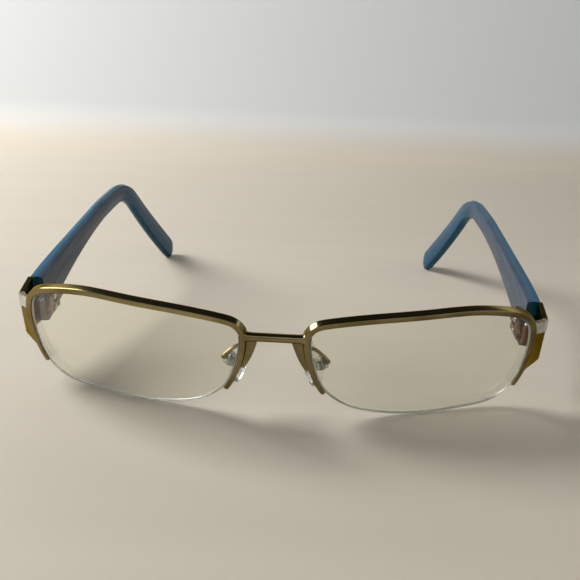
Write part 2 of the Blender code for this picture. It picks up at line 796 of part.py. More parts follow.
def slab(name, outer, inner, material, parent, collection=PARTS):
    """Close two matching grids of points, a plate's outer and inner face, into one solid."""
    mesh = bpy.data.meshes.new(name)
    bm = bmesh.new()
    front = [[bm.verts.new(point) for point in column] for column in outer]
    back = [[bm.verts.new(point) for point in column] for column in inner]
    columns = len(front)
    rows = len(front[0])
    for i in range(columns - 1):
        for j in range(rows - 1):
            for face in (front, back):
                bm.faces.new((face[i][j], face[i + 1][j], face[i + 1][j + 1], face[i][j + 1]))
    border = [(i, 0) for i in range(columns)]
    border += [(columns - 1, j) for j in range(1, rows)]
    border += [(i, rows - 1) for i in range(columns - 2, -1, -1)]
    border += [(0, j) for j in range(rows - 2, 0, -1)]
    for (i, j), (k, m) in zip(border, border[1:] + border[:1]):
        bm.faces.new((front[i][j], front[k][m], back[k][m], back[i][j]))
    bmesh.ops.recalc_face_normals(bm, faces=bm.faces)
    bm.to_mesh(mesh)
    bm.free()
    shade_smooth_by_angle(mesh)
    return add_object(name, mesh, material, parent, collection)


def round_corner(first, corner, last, share, steps=4):
    """Return a path from first to last whose corner is a smooth arc."""
    entry = corner.lerp(first, share)
    leave = corner.lerp(last, share)
    arc = []
    for step in range(steps + 1):
        t = step / steps
        arc.append(entry.lerp(corner, t).lerp(corner.lerp(leave, t), t))
    return [first, first.lerp(entry, 0.5)] + arc + [leave.lerp(last, 0.5), last]


def endpiece_columns(rows, height_share):
    """Return the plate's outer face as columns of points; each row follows the same bent path."""
    outer = temple_outer_offset()
    rear = TEMPLE_FRONT_PLACE - ENDPIECE_TO_TEMPLE
    top_end = TEMPLE_FRAME @ Vector((outer, rear, TEMPLE_TOP_ABOVE_HINGE))
    low_end = TEMPLE_FRAME @ Vector((outer, rear, TEMPLE_TOP_ABOVE_HINGE - TEMPLE_FRONT_HEIGHT))
    low_start = beside_flank(flank_at(ENDPIECE_BOTTOM_LEVEL, True), ENDPIECE_SETBACK)
    low_corner = low_start + Vector((0.0, CORNER_BOTTOM_BACK, CORNER_BOTTOM_RISE))
    low_corner.x = CORNER_TOP.x
    paths = []
    for row, share in zip(rows, height_share):
        start = beside_flank(row, ENDPIECE_SETBACK)
        corner = CORNER_TOP.lerp(low_corner, share)
        end = top_end.lerp(low_end, share)
        paths.append(round_corner(start, corner, end, CORNER_ROUNDING))
    return [list(column) for column in zip(*paths)]


def offset_columns(columns, distance):
    """Return a plate face moved along its own normals; its first column moves with the flank."""
    backwards = LENS_FRAME.to_3x3() @ Vector((0.0, 1.0, 0.0))
    count = len(columns)
    moved = [[point - backwards * distance for point in columns[0]]]
    for i in range(1, count):
        column = []
        for j, point in enumerate(columns[i]):
            along = columns[min(i + 1, count - 1)][j] - columns[i - 1][j]
            up = columns[i][max(j - 1, 0)] - columns[i][min(j + 1, len(columns[i]) - 1)]
            column.append(point + along.cross(up).normalized() * distance)
        moved.append(column)
    return moved


def plate_shares(rows):
    """Return how far down the plate each row lies, from 0 at its top to 1 at its bottom."""
    span = ENDPIECE_TOP_LEVEL - ENDPIECE_BOTTOM_LEVEL
    return [(ENDPIECE_TOP_LEVEL - point.y) / span for point, _, _ in rows]


def endpiece_plate(name, proud, material, parent=ROOT):
    """Return the whole bent plate, thickened on both faces by an amount."""
    rows = flank_rows(ENDPIECE_TOP_LEVEL, ENDPIECE_BOTTOM_LEVEL, True)
    middle = endpiece_columns(rows, plate_shares(rows))
    outer = offset_columns(middle, proud)
    inner = offset_columns(middle, -ENDPIECE_THICKNESS - proud)
    return slab(name, outer, inner, material, parent)


def accent_block(name, gap):
    """Return a cutter over the plate's front top corner, larger by a gap where the trim meets it."""
    start = beside_flank(flank_at(ENDPIECE_TOP_LEVEL, True), ENDPIECE_SETBACK)
    along = (CORNER_TOP - start).normalized()
    up = (Vector((0.0, 0.0, 1.0)) - along * along.z).normalized()
    reach = (CORNER_TOP - start).length * 2.0
    low = (-reach, -reach, -ACCENT_HEIGHT - gap)
    high = (ACCENT_PAST_CORNER + gap, reach, reach)
    block = box(name, low, high, None, ROOT, collection=CUTTERS)
    block.data.transform(frame_matrix(along, up.cross(along), up, CORNER_TOP))
    return block


def add_endpiece():
    """Add the bent plate with a notch at its front top corner for the accent trim."""
    plate = endpiece_plate("right_endpiece", 0.0, GOLD)
    boolean(plate, [accent_block("accent_notch", FIT_GAP)])


def add_accent():
    """Add the bright trim block that caps the wing of the endpiece."""
    trim = endpiece_plate("right_accent_trim", ACCENT_PROUD, SILVER)
    boolean(trim, [accent_block("accent_outline", 0.0)], operation="INTERSECT")


# Hinge ----------------------------------------------------------------------------------------

TEMPLE_FRONT_PLACE = KNUCKLE_RADIUS + 1.25 * MM


def temple_outer_offset():
    """Return how far the temple's outer face lies outside the hinge axis."""
    return -HINGE_OFFSET.x


def temple_inner_offset():
    """Return where the temple's inner face lies, measured from the hinge axis."""
    return temple_outer_offset() - TEMPLE_FRONT_THICKNESS


def knuckle_height():
    """Return the height of one of the three knuckles."""
    return (HINGE_HEIGHT - 2.0 * FIT_GAP) / 3.0


def add_front_hinge():
    """Add the hinge half on the endpiece, with the upper and lower knuckles."""
    half = HINGE_HEIGHT / 2.0
    outer = temple_outer_offset() - ENDPIECE_THICKNESS - 2.5 * FIT_GAP
    inner = outer - LEAF_THICKNESS
    edge = -KNUCKLE_RADIUS - FIT_GAP
    leaf = box(
        "right_front_hinge",
        (inner, edge - FRONT_LEAF_LENGTH, -half),
        (outer, edge, half),
        BRONZE,
        HINGE_EMPTY,
    )
    pieces = []
    for index, low in enumerate((-half, half - knuckle_height())):
        high = low + knuckle_height()
        knuckle = cylinder(f"front_knuckle_{index}", KNUCKLE_RADIUS, low, high, "Z")
        near = (0.2 * MM, edge * 1.2, low + ARM_STEP)
        far = (outer - ARM_STEP, 0.0, high - ARM_STEP)
        arm = box(f"front_arm_{index}", near, far, None, HINGE_EMPTY)
        pieces += [knuckle, arm]
    join(leaf, pieces)
    bore = cylinder("front_hinge_bore", HINGE_SCREW_RADIUS + RUNNING_GAP, -2.0 * half, 2.0 * half, "Z")
    boolean(leaf, [bore])


def add_temple_hinge():
    """Add the hinge half on the temple, with the middle knuckle and a slotted leaf."""
    half = HINGE_HEIGHT / 2.0
    outer = temple_inner_offset() - FIT_GAP
    inner = outer - LEAF_THICKNESS
    start = KNUCKLE_RADIUS + 3.0 * FIT_GAP
    leaf = box(
        "right_temple_hinge",
        (inner, start, -half),
        (outer, TEMPLE_LEAF_LENGTH + start, half),
        BRONZE,
        HINGE_EMPTY,
        bevel=0.2 * MM,
    )
    middle = knuckle_height() / 2.0
    knuckle = cylinder("temple_knuckle", KNUCKLE_RADIUS, -middle, middle, "Z")
    near = (inner + ARM_STEP, 0.0, ARM_STEP - middle)
    far = (-0.3 * MM, start + 0.6 * MM, middle - ARM_STEP)
    arm = box("temple_arm", near, far, None, HINGE_EMPTY)
    join(leaf, [knuckle, arm])
    bore = cylinder("temple_hinge_bore", HINGE_SCREW_RADIUS + RUNNING_GAP, -half, half, "Z")
    slot_end = TEMPLE_LEAF_LENGTH + start - 1.6 * MM
    slot = box(
        "leaf_slot",
        (inner - LEAF_THICKNESS, slot_end - LEAF_SLOT_LENGTH, -LEAF_SLOT_HEIGHT / 2.0),
        (outer + LEAF_THICKNESS / 2.0, slot_end, LEAF_SLOT_HEIGHT / 2.0),
        None,
        HINGE_EMPTY,
        collection=CUTTERS,
    )
    holes = []
    for index, height in enumerate(rivet_heights()):
        hole = cylinder(f"leaf_rivet_hole_{index}", RIVET_RADIUS + FIT_GAP, inner * 3.0, outer + LEAF_THICKNESS, "X")
        hole.data.transform(Matrix.Translation((0.0, rivet_place(), height)))
        holes.append(hole)
    boolean(leaf, [bore, slot] + holes)


def rivet_heights():
    """Return the heights of the lower and upper rivet."""
    return (-RIVET_SPACING / 2.0, RIVET_SPACING / 2.0)


def rivet_place():
    """Return how far behind the hinge axis the rivets sit."""
    return KNUCKLE_RADIUS + TEMPLE_LEAF_LENGTH * 0.52


def add_rivets():
    """Add the two rivets that hold the temple hinge to the acetate."""
    leaf_face = temple_inner_offset() - FIT_GAP - LEAF_THICKNESS
    head_base = leaf_face - FIT_GAP
    head = head_base - RIVET_HEAD_HEIGHT
    tip = temple_inner_offset() + RIVET_ANCHOR
    for name, height in zip(("right_lower_rivet", "right_upper_rivet"), rivet_heights()):
        profile = (
            (0.0, head),
            (RIVET_HEAD_RADIUS * 0.6, head + 0.06 * MM),
            (RIVET_HEAD_RADIUS, head_base - 0.1 * MM),
            (RIVET_HEAD_RADIUS, head_base),
            (RIVET_RADIUS, head_base),
            (RIVET_RADIUS, tip),
            (0.0, tip),
        )
        rivet = turned(name, profile, "X", STEEL, HINGE_EMPTY)
        rivet.data.transform(Matrix.Translation((0.0, rivet_place(), height)))


def add_hinge_screw():
    """Add the screw that pins the three knuckles together."""
    half = HINGE_HEIGHT / 2.0
    base = half + FIT_GAP
    head = base + HINGE_SCREW_HEAD_HEIGHT
    chamfer = 0.12 * MM
    profile = (
        (0.0, -half),
        (HINGE_SCREW_RADIUS, -half),
        (HINGE_SCREW_RADIUS, base),
        (HINGE_SCREW_HEAD_RADIUS, base),
        (HINGE_SCREW_HEAD_RADIUS, head - chamfer),
        (HINGE_SCREW_HEAD_RADIUS - chamfer, head),
        (0.0, head),
    )
    slotted_screw("right_hinge_screw", profile, head, HINGE_SCREW_HEAD_RADIUS, "Z", HINGE_EMPTY)


# Temple ---------------------------------------------------------------------------------------

def temple_centre_line():
    """Return the temple's centre line in the hinge frame, from its front end to its tip."""
    front = TEMPLE_FRONT_PLACE
    middle = TEMPLE_TOP_ABOVE_HINGE - TEMPLE_FRONT_HEIGHT / 2.0
    start_x = temple_outer_offset() - TEMPLE_FRONT_THICKNESS / 2.0
    arch_top = middle + TEMPLE_ARCH
    bend_turn = TEMPLE_BEND_RADIUS * math.tan(TEMPLE_DROP_ANGLE / 2.0)
    bend_start = TEMPLE_BEND_LENGTH - bend_turn
    flat = []
    steps = 12
    for step in range(steps + 1):
        share = step / steps
        place = front + (bend_start - front) * share
        height = middle + (arch_top - middle) * math.sin(math.pi * min(share / 0.9, 1.0) / 2.0)
        height -= 0.8 * MM * max(share - 0.8, 0.0) / 0.2
        flat.append((place, height))
    start_angle = math.radians(3.0)
    base = Vector(flat[-1])
    arc_steps = 8
    centre = base + Vector((-math.sin(start_angle), -math.cos(start_angle))) * TEMPLE_BEND_RADIUS
    for step in range(1, arc_steps + 1):
        angle = start_angle + (TEMPLE_DROP_ANGLE - start_angle) * step / arc_steps
        spot = centre + Vector((math.sin(angle), math.cos(angle))) * TEMPLE_BEND_RADIUS
        flat.append((spot.x, spot.y))
    drop = Vector((math.cos(TEMPLE_DROP_ANGLE), -math.sin(TEMPLE_DROP_ANGLE)))
    foot = Vector(flat[-1])
    for step in range(1, 7):
        spot = foot + drop * TEMPLE_DROP_LENGTH * step / 6
        flat.append((spot.x, spot.y))
    reach = TEMPLE_BEND_LENGTH
    blade = front + TEMPLE_LEAF_LENGTH
    end = flat[-1][0]
    points = []
    for place, height in flat:
        straight = min(max(place - blade, 0.0) / (reach - blade), 1.0)
        beyond = max(place - reach * 0.92, 0.0) / (end - reach * 0.92)
        inward = TEMPLE_INWARD_BEND * straight**1.3 + TIP_INWARD_BEND * beyond**1.5
        points.append(Vector((start_x - inward, place, height)))
    return points


def temple_section(share):
    """Return the temple's height and thickness at a share of its length."""
    narrow = min(share / 0.42, 1.0)
    height = TEMPLE_FRONT_HEIGHT + (TEMPLE_MIDDLE_HEIGHT - TEMPLE_FRONT_HEIGHT) * math.sin(narrow * math.pi / 2.0)
    widen = max(share - 0.6, 0.0) / 0.4
    height += (TEMPLE_TIP_HEIGHT - TEMPLE_MIDDLE_HEIGHT) * min(widen * 1.3, 1.0)
    thickness = TEMPLE_FRONT_THICKNESS + (TEMPLE_TIP_THICKNESS - TEMPLE_FRONT_THICKNESS) * share
    return height, thickness


def section_ring(centre, along, height, thickness, chamfer):
    """Return an eight-cornered section across a path that runs in a nearly upright plane."""
    side = Vector((1.0, 0.0, 0.0))
    side = (side - along * side.dot(along)).normalized()
    up = side.cross(along).normalized()
    half_h = height / 2.0
    half_t = thickness / 2.0
    corners = (
        (half_t, half_h - chamfer),
        (half_t - chamfer, half_h),
        (chamfer - half_t, half_h),
        (-half_t, half_h - chamfer),
        (-half_t, chamfer - half_h),
        (chamfer - half_t, -half_h),
        (half_t - chamfer, -half_h),
        (half_t, chamfer - half_h),
    )
    return [centre + side * s + up * v for s, v in corners]


def path_sections(count):
    """Return evenly spaced centres and directions along the temple."""
    centres = resample(temple_centre_line(), count)
    directions = []
    for index in range(count):
        before = centres[max(index - 1, 0)]
        after = centres[min(index + 1, count - 1)]
        directions.append((after - before).normalized())
    directions[0] = Vector((0.0, 1.0, 0.0))
    return centres, directions


def wire_rings(extra, stop):
    """Return the core wire's sections, or its channel's, enlarged by a gap on every side."""
    centres, directions = path_sections(TEMPLE_STEPS)
    last = int(TEMPLE_STEPS * stop)
    rings = []
    for centre, along in list(zip(centres, directions))[:last]:
        width = CORE_WIRE_WIDTH + 2.0 * extra
        height = CORE_WIRE_HEIGHT + 2.0 * extra
        rings.append(section_ring(centre, along, height, width, 0.25 * MM))
    return rings


def add_temple():
    """Add the acetate temple with its open-ended wire channel and rivet holes."""
    centres, directions = path_sections(TEMPLE_STEPS)
    outer = []
    for index, (centre, along) in enumerate(zip(centres, directions)):
        height, thickness = temple_section(index / (TEMPLE_STEPS - 1))
        outer.append(section_ring(centre, along, height, thickness, min(1.0 * MM, thickness * 0.3)))
    spacing = (centres[-1] - centres[-2]).length
    tip_height, tip_thickness = temple_section(1.0)
    for step in (0.45, 0.8, 0.97):
        squeeze = math.sqrt(1.0 - step * step)
        centre = centres[-1] + directions[-1] * tip_height / 2.0 * step
        height = tip_height * squeeze
        thickness = tip_thickness * (0.55 + 0.45 * squeeze)
        chamfer = min(1.0 * MM, thickness * 0.3, height * 0.3)
        outer.append(section_ring(centre, directions[-1], height, thickness, chamfer))
    channel = list(reversed(wire_rings(FIT_GAP, CORE_WIRE_LENGTH)))
    end = channel[0]
    shift = directions[int(TEMPLE_STEPS * CORE_WIRE_LENGTH)] * min(FIT_GAP * 4.0, spacing / 2.0)
    channel.insert(0, [point + shift for point in end])
    rings = channel + outer
    temple = loft("right_temple", rings, ACETATE, HINGE_EMPTY)
    holes = []
    for index, height in enumerate(rivet_heights()):
        low = temple_inner_offset() - RIVET_ANCHOR
        high = temple_inner_offset() + RIVET_ANCHOR + FIT_GAP
        hole = cylinder(f"temple_rivet_hole_{index}", RIVET_RADIUS + FIT_GAP, low, high, "X")
        hole.data.transform(Matrix.Translation((0.0, rivet_place(), height)))
        holes.append(hole)
    boolean(temple, holes)


def add_core_wire():
    """Add the metal core wire inside the acetate."""
    rings = wire_rings(0.0, CORE_WIRE_LENGTH)
    loft("right_core_wire", rings, STEEL, HINGE_EMPTY)


# Assembly -------------------------------------------------------------------------------------

def mirrored_name(name):
    """Return the left-hand name of a right-hand piece."""
    return name.replace("right_", "left_", 1)


def mirror_to_left():
    """Copy every right-hand piece and frame to the left-hand side."""
    empties = {ROOT: ROOT}
    for obj in list(PARTS.objects):
        if obj.type == "EMPTY" and obj.name.startswith("right_"):
            matrix = MIRROR_X @ obj.matrix_local @ MIRROR_X
            empties[obj] = make_empty(mirrored_name(obj.name), matrix, ROOT)
    depsgraph = bpy.context.evaluated_depsgraph_get()
    for obj in list(PARTS.objects):
        if obj.type != "MESH" or not obj.name.startswith("right_"):
            continue
        mesh = bpy.data.meshes.new_from_object(obj.evaluated_get(depsgraph))
        mesh.transform(MIRROR_X)
        mesh.flip_normals()
        mesh.name = mirrored_name(obj.name)
        add_object(mirrored_name(obj.name), mesh, obj.data.materials[0], empties[obj.parent])


def stand_at_origin():
    """Move the root so that the object stands on z = 0, centred on the origin."""
    bpy.context.view_layer.update()
    depsgraph = bpy.context.evaluated_depsgraph_get()
    corners = []
    for obj in PARTS.objects:
        if obj.type == "MESH":
            solid = obj.evaluated_get(depsgraph)
            corners.extend(solid.matrix_world @ vert.co for vert in solid.data.vertices)
    low = [min(corner[axis] for corner in corners) for axis in range(3)]
    high = [max(corner[axis] for corner in corners) for axis in range(3)]
    ROOT.location = (0.0, -(low[1] + high[1]) / 2.0, -low[2])
    bpy.context.view_layer.update()


def build():
    """Model the right-hand side and the bridge, mirror it and stand the object up."""
    add_eyewire()
    add_rim_liner()
    add_lens()
    add_nylon_cord()
    add_bridge()
    add_nasal_fin()
    add_pad_arm()
    add_pad_box()
    add_pad_screw()
    add_nose_pad()
    add_endpiece()
    add_accent()
    add_front_hinge()
    add_temple_hinge()
    add_rivets()
    add_hinge_screw()
    add_temple()
    add_core_wire()
    bpy.context.view_layer.update()
    mirror_to_left()
    stand_at_origin()


build()
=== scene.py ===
"""Looks of the semi-rimless eyeglasses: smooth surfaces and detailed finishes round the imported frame.

Every right-hand piece is worked out in the row frame, in metres, and mirrored for the left-hand side.
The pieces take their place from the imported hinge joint, so that they sit where the solids are.
"""

import json
import logging
import math
from dataclasses import dataclass, field
from enum import Enum

import bmesh
import bpy
import numpy as np
from mathutils import Matrix, Vector


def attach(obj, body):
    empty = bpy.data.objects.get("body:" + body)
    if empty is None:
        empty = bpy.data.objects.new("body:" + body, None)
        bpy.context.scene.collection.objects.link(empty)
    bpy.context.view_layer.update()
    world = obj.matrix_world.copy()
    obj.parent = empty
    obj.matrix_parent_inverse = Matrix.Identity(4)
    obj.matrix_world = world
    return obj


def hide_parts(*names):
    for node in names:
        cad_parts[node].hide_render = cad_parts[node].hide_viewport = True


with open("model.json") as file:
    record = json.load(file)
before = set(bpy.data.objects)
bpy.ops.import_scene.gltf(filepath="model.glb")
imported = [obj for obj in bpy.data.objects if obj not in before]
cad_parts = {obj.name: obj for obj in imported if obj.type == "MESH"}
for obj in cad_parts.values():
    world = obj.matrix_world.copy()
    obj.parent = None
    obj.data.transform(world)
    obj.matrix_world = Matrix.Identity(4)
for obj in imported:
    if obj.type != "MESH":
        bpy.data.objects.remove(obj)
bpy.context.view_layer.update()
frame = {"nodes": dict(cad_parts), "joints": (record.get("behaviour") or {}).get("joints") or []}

Array = np.ndarray
Colour = tuple[float, float, float]
Triple = tuple[float, float, float]
MM = 0.001
SHARP = math.radians(35.0)
FLAT = math.radians(1.0)
MERGE_DISTANCE = 0.002 * MM
LOG = logging.getLogger("eyeglasses")


class Side(Enum):
    """The two sides of the object; the value is the sign of X."""

    RIGHT = 1.0
    LEFT = -1.0

    def name_of(self, piece: str) -> str:
        """Return a piece's or a body's name on this side."""
        return f"{self.name.lower()}_{piece}"


# Arrays of points ------------------------------------------------------------------------------

def unit(vectors: Array) -> Array:
    """Return vectors divided by their lengths along the last axis."""
    return vectors / np.linalg.norm(vectors, axis=-1, keepdims=True)


def ease(share: Array) -> Array:
    """Return the smooth step 3 s^2 - 2 s^3 of a share held between 0 and 1."""
    share = np.clip(share, 0.0, 1.0)
    return share * share * (3.0 - 2.0 * share)


def arc_lengths(points: Array) -> Array:
    """Return the distance of each point along its polyline."""
    steps = np.linalg.norm(np.diff(points, axis=0), axis=-1)
    return np.concatenate([[0.0], np.cumsum(steps)])


def resample(points: Array, count: int) -> Array:
    """Return evenly spaced points along a polyline.

    Args:
        points: The polyline, one point a row.
        count: How many points to return.

    Returns:
        The new points; each coordinate is interpolated over the distance along the line.
    """
    lengths = arc_lengths(points)
    targets = np.linspace(0.0, lengths[-1], count)
    return np.stack([np.interp(targets, lengths, column) for column in points.T], axis=-1)


def curve_through(points: Array, steps: int, closed: bool = False) -> Array:
    """Return a dense cubic curve through points, whose tangents follow the neighbours' chord.

    Args:
        points: The points to pass through.
        steps: How many samples each span gets.
        closed: Whether the last point joins the first.

    Returns:
        The samples of every span's Bezier cubic, in order.
    """
    if closed:
        before, after, beyond = (np.roll(points, shift, axis=0) for shift in (1, -1, -2))
        start = points
    else:
        padded = np.concatenate([points[:1], points, points[-1:]])
        before, start, after, beyond = padded[:-3], padded[1:-2], padded[2:-1], padded[3:]
    first = start + (after - before) / 6.0
    second = after - (beyond - start) / 6.0
    t = np.linspace(0.0, 1.0, steps, endpoint=False)[None, :, None]
    s = 1.0 - t
    curve = (s**3 * start[:, None] + 3.0 * s * s * t * first[:, None]
             + 3.0 * s * t * t * second[:, None] + t**3 * after[:, None])
    curve = curve.reshape(-1, points.shape[-1])
    return curve if closed else np.concatenate([curve, points[-1:]])


def soften(points: Array, width: float) -> Array:
    """Return an open polyline averaged with its neighbours by a bell curve; its ends stay.

    Args:
        points: Evenly spaced points.
        width: The bell's standard deviation, in points.

    Returns:
        The softened points. The line is continued by point reflection past both ends first.
    """
    reach = int(width * 3.0)
    head = 2.0 * points[0] - points[reach:0:-1]
    tail = 2.0 * points[-1] - points[-2:-reach - 2:-1]
    longer = np.concatenate([head, points, tail])
    bell = np.exp(-0.5 * (np.arange(-reach, reach + 1) / width) ** 2)
    bell /= bell.sum()
    return np.stack([np.convolve(column, bell, "valid") for column in longer.T], axis=-1)


def round_corners(corners: Array, radii: Array, steps: int = 5) -> Array:
    """Return closed sections whose corners are arcs.

    Args:
        corners: Corner points, shaped (sections, corners, 2).
        radii: How far each arc starts from its corner.
        steps: How many points an arc has.

    Returns:
        Points shaped (sections, corners * steps, 2); an arc is the quadratic Bezier from one edge
        to the next, with the corner as its middle handle.
    """
    reach = radii[None, :, None]
    towards_last = unit(np.roll(corners, 1, axis=1) - corners) * reach + corners
    towards_next = unit(np.roll(corners, -1, axis=1) - corners) * reach + corners
    t = np.linspace(0.0, 1.0, steps)[None, None, :, None]
    arcs = ((1.0 - t) ** 2 * towards_last[:, :, None] + 2.0 * t * (1.0 - t) * corners[:, :, None]
            + t * t * towards_next[:, :, None])
    return arcs.reshape(corners.shape[0], -1, 2)


@dataclass(frozen=True)
class Place:
    """A frame of axes: its origin and its three axes as the rows of a matrix."""

    origin: Array
    axes: Array

    def world(self, points: Array) -> Array:
        """Return local points in the row frame."""
        return self.origin + points @ self.axes

    def moved(self, shift: Array) -> "Place":
        """Return the same frame at a shifted origin."""
        return Place(self.origin + shift, self.axes)


def turn(axis: str, angle: float) -> Array:
    """Return the rotation matrix about a main axis, for column vectors."""
    return np.array(Matrix.Rotation(angle, 3, axis))


# Surfaces --------------------------------------------------------------------------------------

def grid_faces(rows: int, columns: int, wrap_rows: bool = False, wrap_columns: bool = False) -> Array:
    """Return the four-sided faces of a grid of points numbered row by row."""
    i = np.arange(rows if wrap_rows else rows - 1)
    j = np.arange(columns if wrap_columns else columns - 1)
    i, j = (a.ravel() for a in np.meshgrid(i, j, indexing="ij"))
    below = (i + 1) % rows
    beside = (j + 1) % columns
    corners = (i * columns + j, i * columns + beside, below * columns + beside, below * columns + j)
    return np.stack(corners, axis=-1)


@dataclass
class Surface:
    """A closed mesh before it becomes an object: points, faces, and values that vary over it."""

    points: Array
    quads: Array
    triangles: Array = field(default_factory=lambda: np.zeros((0, 3), int))
    fields: dict[str, Array] = field(default_factory=dict)

    def volume(self) -> float:
        """Return the signed volume, the sum of a . (b x c) / 6 over the triangles."""
        halves = [self.triangles]
        if len(self.quads):
            halves += [self.quads[:, [0, 1, 2]], self.quads[:, [0, 2, 3]]]
        a, b, c = (self.points[np.concatenate(halves)[:, k]] for k in range(3))
        return float(np.einsum("ij,ij->i", a, np.cross(b, c)).sum() / 6.0)

    def outward(self) -> "Surface":
        """Return the surface with its faces turned outwards."""
        if self.volume() >= 0.0:
            return self
        return Surface(self.points, self.quads[:, ::-1], self.triangles[:, ::-1], self.fields)

    def on_side(self, side: Side) -> "Surface":
        """Return the right-hand surface, or its mirror image for the left-hand side."""
        points = self.points * np.array([side.value, 1.0, 1.0])
        return Surface(points, self.quads, self.triangles, self.fields).outward()


def loft(rings: Array, fields: dict[str, Array] | None = None) -> Surface:
    """Join closed sections into a solid whose two ends close on their centres.

    Args:
        rings: Section points, shaped (sections, points, 3).
        fields: Values shaped (sections, points) or (sections, points, 3).

    Returns:
        The closed surface.
    """
    count, size, _ = rings.shape
    poles = np.stack([rings[0].mean(axis=0), rings[-1].mean(axis=0)])
    points = np.concatenate([rings.reshape(-1, 3), poles])
    around = np.arange(size)
    after = (around + 1) % size
    base = (count - 1) * size
    start = np.stack([after, around, np.full(size, count * size)], axis=-1)
    end = np.stack([around + base, after + base, np.full(size, count * size + 1)], axis=-1)
    values = {}
    for name, value in (fields or {}).items():
        flat = value.reshape(count * size, *value.shape[2:])
        ends = np.stack([value[0].mean(axis=0), value[-1].mean(axis=0)])
        values[name] = np.concatenate([flat, ends])
    triangles = np.concatenate([start, end])
    return Surface(points, grid_faces(count, size, wrap_columns=True), triangles, values).outward()


def rounded_ends(rings: Array, reach: float, keep: float = 0.35, steps: int = 4) -> Array:
    """Return rings with extra ones past both ends, which shrink as a quarter circle closes.

    Args:
        rings: Section points, shaped (sections, points, 3).
        reach: How far the rounding stands past the last ring.
        keep: The share of its size that the last extra ring keeps.
        steps: How many rings each end gains.

    Returns:
        The longer array of rings.
    """
    angle = np.linspace(0.0, math.pi / 2.0, steps + 1)[1:, None, None]
    caps = []
    for last, earlier in ((rings[0], rings[1]), (rings[-1], rings[-2])):
        centre = last.mean(axis=0)
        ahead = unit(centre - earlier.mean(axis=0))
        size = 1.0 - (1.0 - keep) * (1.0 - np.cos(angle))
        caps.append(centre + ahead * reach * np.sin(angle) + (last - centre) * size)
    return np.concatenate([caps[0][::-1], rings, caps[1]])


def tube(path: Array, radius: Array | float, segments: int = 20) -> Surface:
    """Carry a circle along a path.

    Args:
        path: Points of the centre line.
        radius: The circle's radius, the same all along or one for each point.
        segments: How many points the circle has.

    Returns:
        The closed tube. The circle's first direction is the path's mean normal, made square to the
        tangent at each point.
    """
    tangent = unit(np.gradient(path, axis=0))
    chord = unit(path[-1] - path[0])
    helper = np.eye(3)[np.argmin(np.abs(chord))]
    side = unit(np.cross(tangent, helper))
    up = np.cross(side, tangent)
    angle = np.linspace(0.0, 2.0 * math.pi, segments, endpoint=False)[None, :, None]
    spread = np.broadcast_to(np.asarray(radius, float), (len(path),))[:, None, None]
    rings = path[:, None] + spread * (np.cos(angle) * side[:, None] + np.sin(angle) * up[:, None])
    return loft(rings)


def masked_slab(outer: Array, inner: Array, mask: Array) -> Surface:
    """Close two matching grids of points into a plate, only where a mask of cells is true.

    Args:
        outer: The plate's outer face, shaped (columns, rows, 3).
        inner: Its inner face, in the same shape.
        mask: Which cells are kept, shaped (columns - 1, rows - 1).

    Returns:
        The closed plate. A wall stands along every cell edge that has the plate on one side only.
    """
    columns, rows, _ = outer.shape
    index = np.arange(columns * rows).reshape(columns, rows)
    shift = columns * rows
    cells = np.stack([index[:-1, :-1], index[1:, :-1], index[1:, 1:], index[:-1, 1:]], axis=-1)[mask]
    padded = np.pad(mask, 1)
    walls = []
    for axis, first, second in ((0, index[:, :-1], index[:, 1:]), (1, index[:-1, :], index[1:, :])):
        change = np.diff(padded.astype(int), axis=axis)
        change = change[:, 1:-1] if axis == 0 else change[1:-1, :]
        for sign in (1, -1):
            edge = change == sign
            a, b = first[edge], second[edge]
            if (sign == 1) == (axis == 0):
                a, b = b, a
            walls.append(np.stack([a, b, b + shift, a + shift], axis=-1))
    quads = np.concatenate([cells, cells[:, ::-1] + shift] + walls)
    points = np.concatenate([outer.reshape(-1, 3), inner.reshape(-1, 3)])
    used, renumbered = np.unique(quads, return_inverse=True)
    return Surface(points[used], renumbered.reshape(quads.shape)).outward()


# Shader maths ----------------------------------------------------------------------------------

class Value:
    """A shader socket that takes part in ordinary arithmetic."""

    def __init__(self, graph: "Graph", socket: bpy.types.NodeSocket) -> None:
        """Keep the socket and the graph that holds its node."""
        self.graph = graph
        self.socket = socket

    def _with(self, operation: str, *others: "Value | float") -> "Value":
        """Return a Math node's result for this value and others."""
        inputs = dict(enumerate((self, *others)))
        node = self.graph.node("ShaderNodeMath", {"operation": operation}, inputs)
        return Value(self.graph, node.outputs[0])

    def _after(self, operation: str, other: float) -> "Value":
        """Return a Math node's result with a number as its first operand."""
        node = self.graph.node("ShaderNodeMath", {"operation": operation}, {0: other, 1: self})
        return Value(self.graph, node.outputs[0])

    def __add__(self, other: "Value | float") -> "Value":
        """Return the sum."""
        return self._with("ADD", other)

    __radd__ = __add__

    def __sub__(self, other: "Value | float") -> "Value":
        """Return the difference."""
        return self._with("SUBTRACT", other)

    def __rsub__(self, other: float) -> "Value":
        """Return a number less this value."""
        return self._after("SUBTRACT", other)

    def __mul__(self, other: "Value | float") -> "Value":
        """Return the product."""
        return self._with("MULTIPLY", other)

    __rmul__ = __mul__

    def step(self, low: float, high: float) -> "Value":
        """Return a smooth rise from 0 at low to 1 at high."""
        settings = {"interpolation_type": "SMOOTHSTEP"}
        inputs = {"Value": self, "From Min": low, "From Max": high}
        node = self.graph.node("ShaderNodeMapRange", settings, inputs)
        return Value(self.graph, node.outputs["Result"])


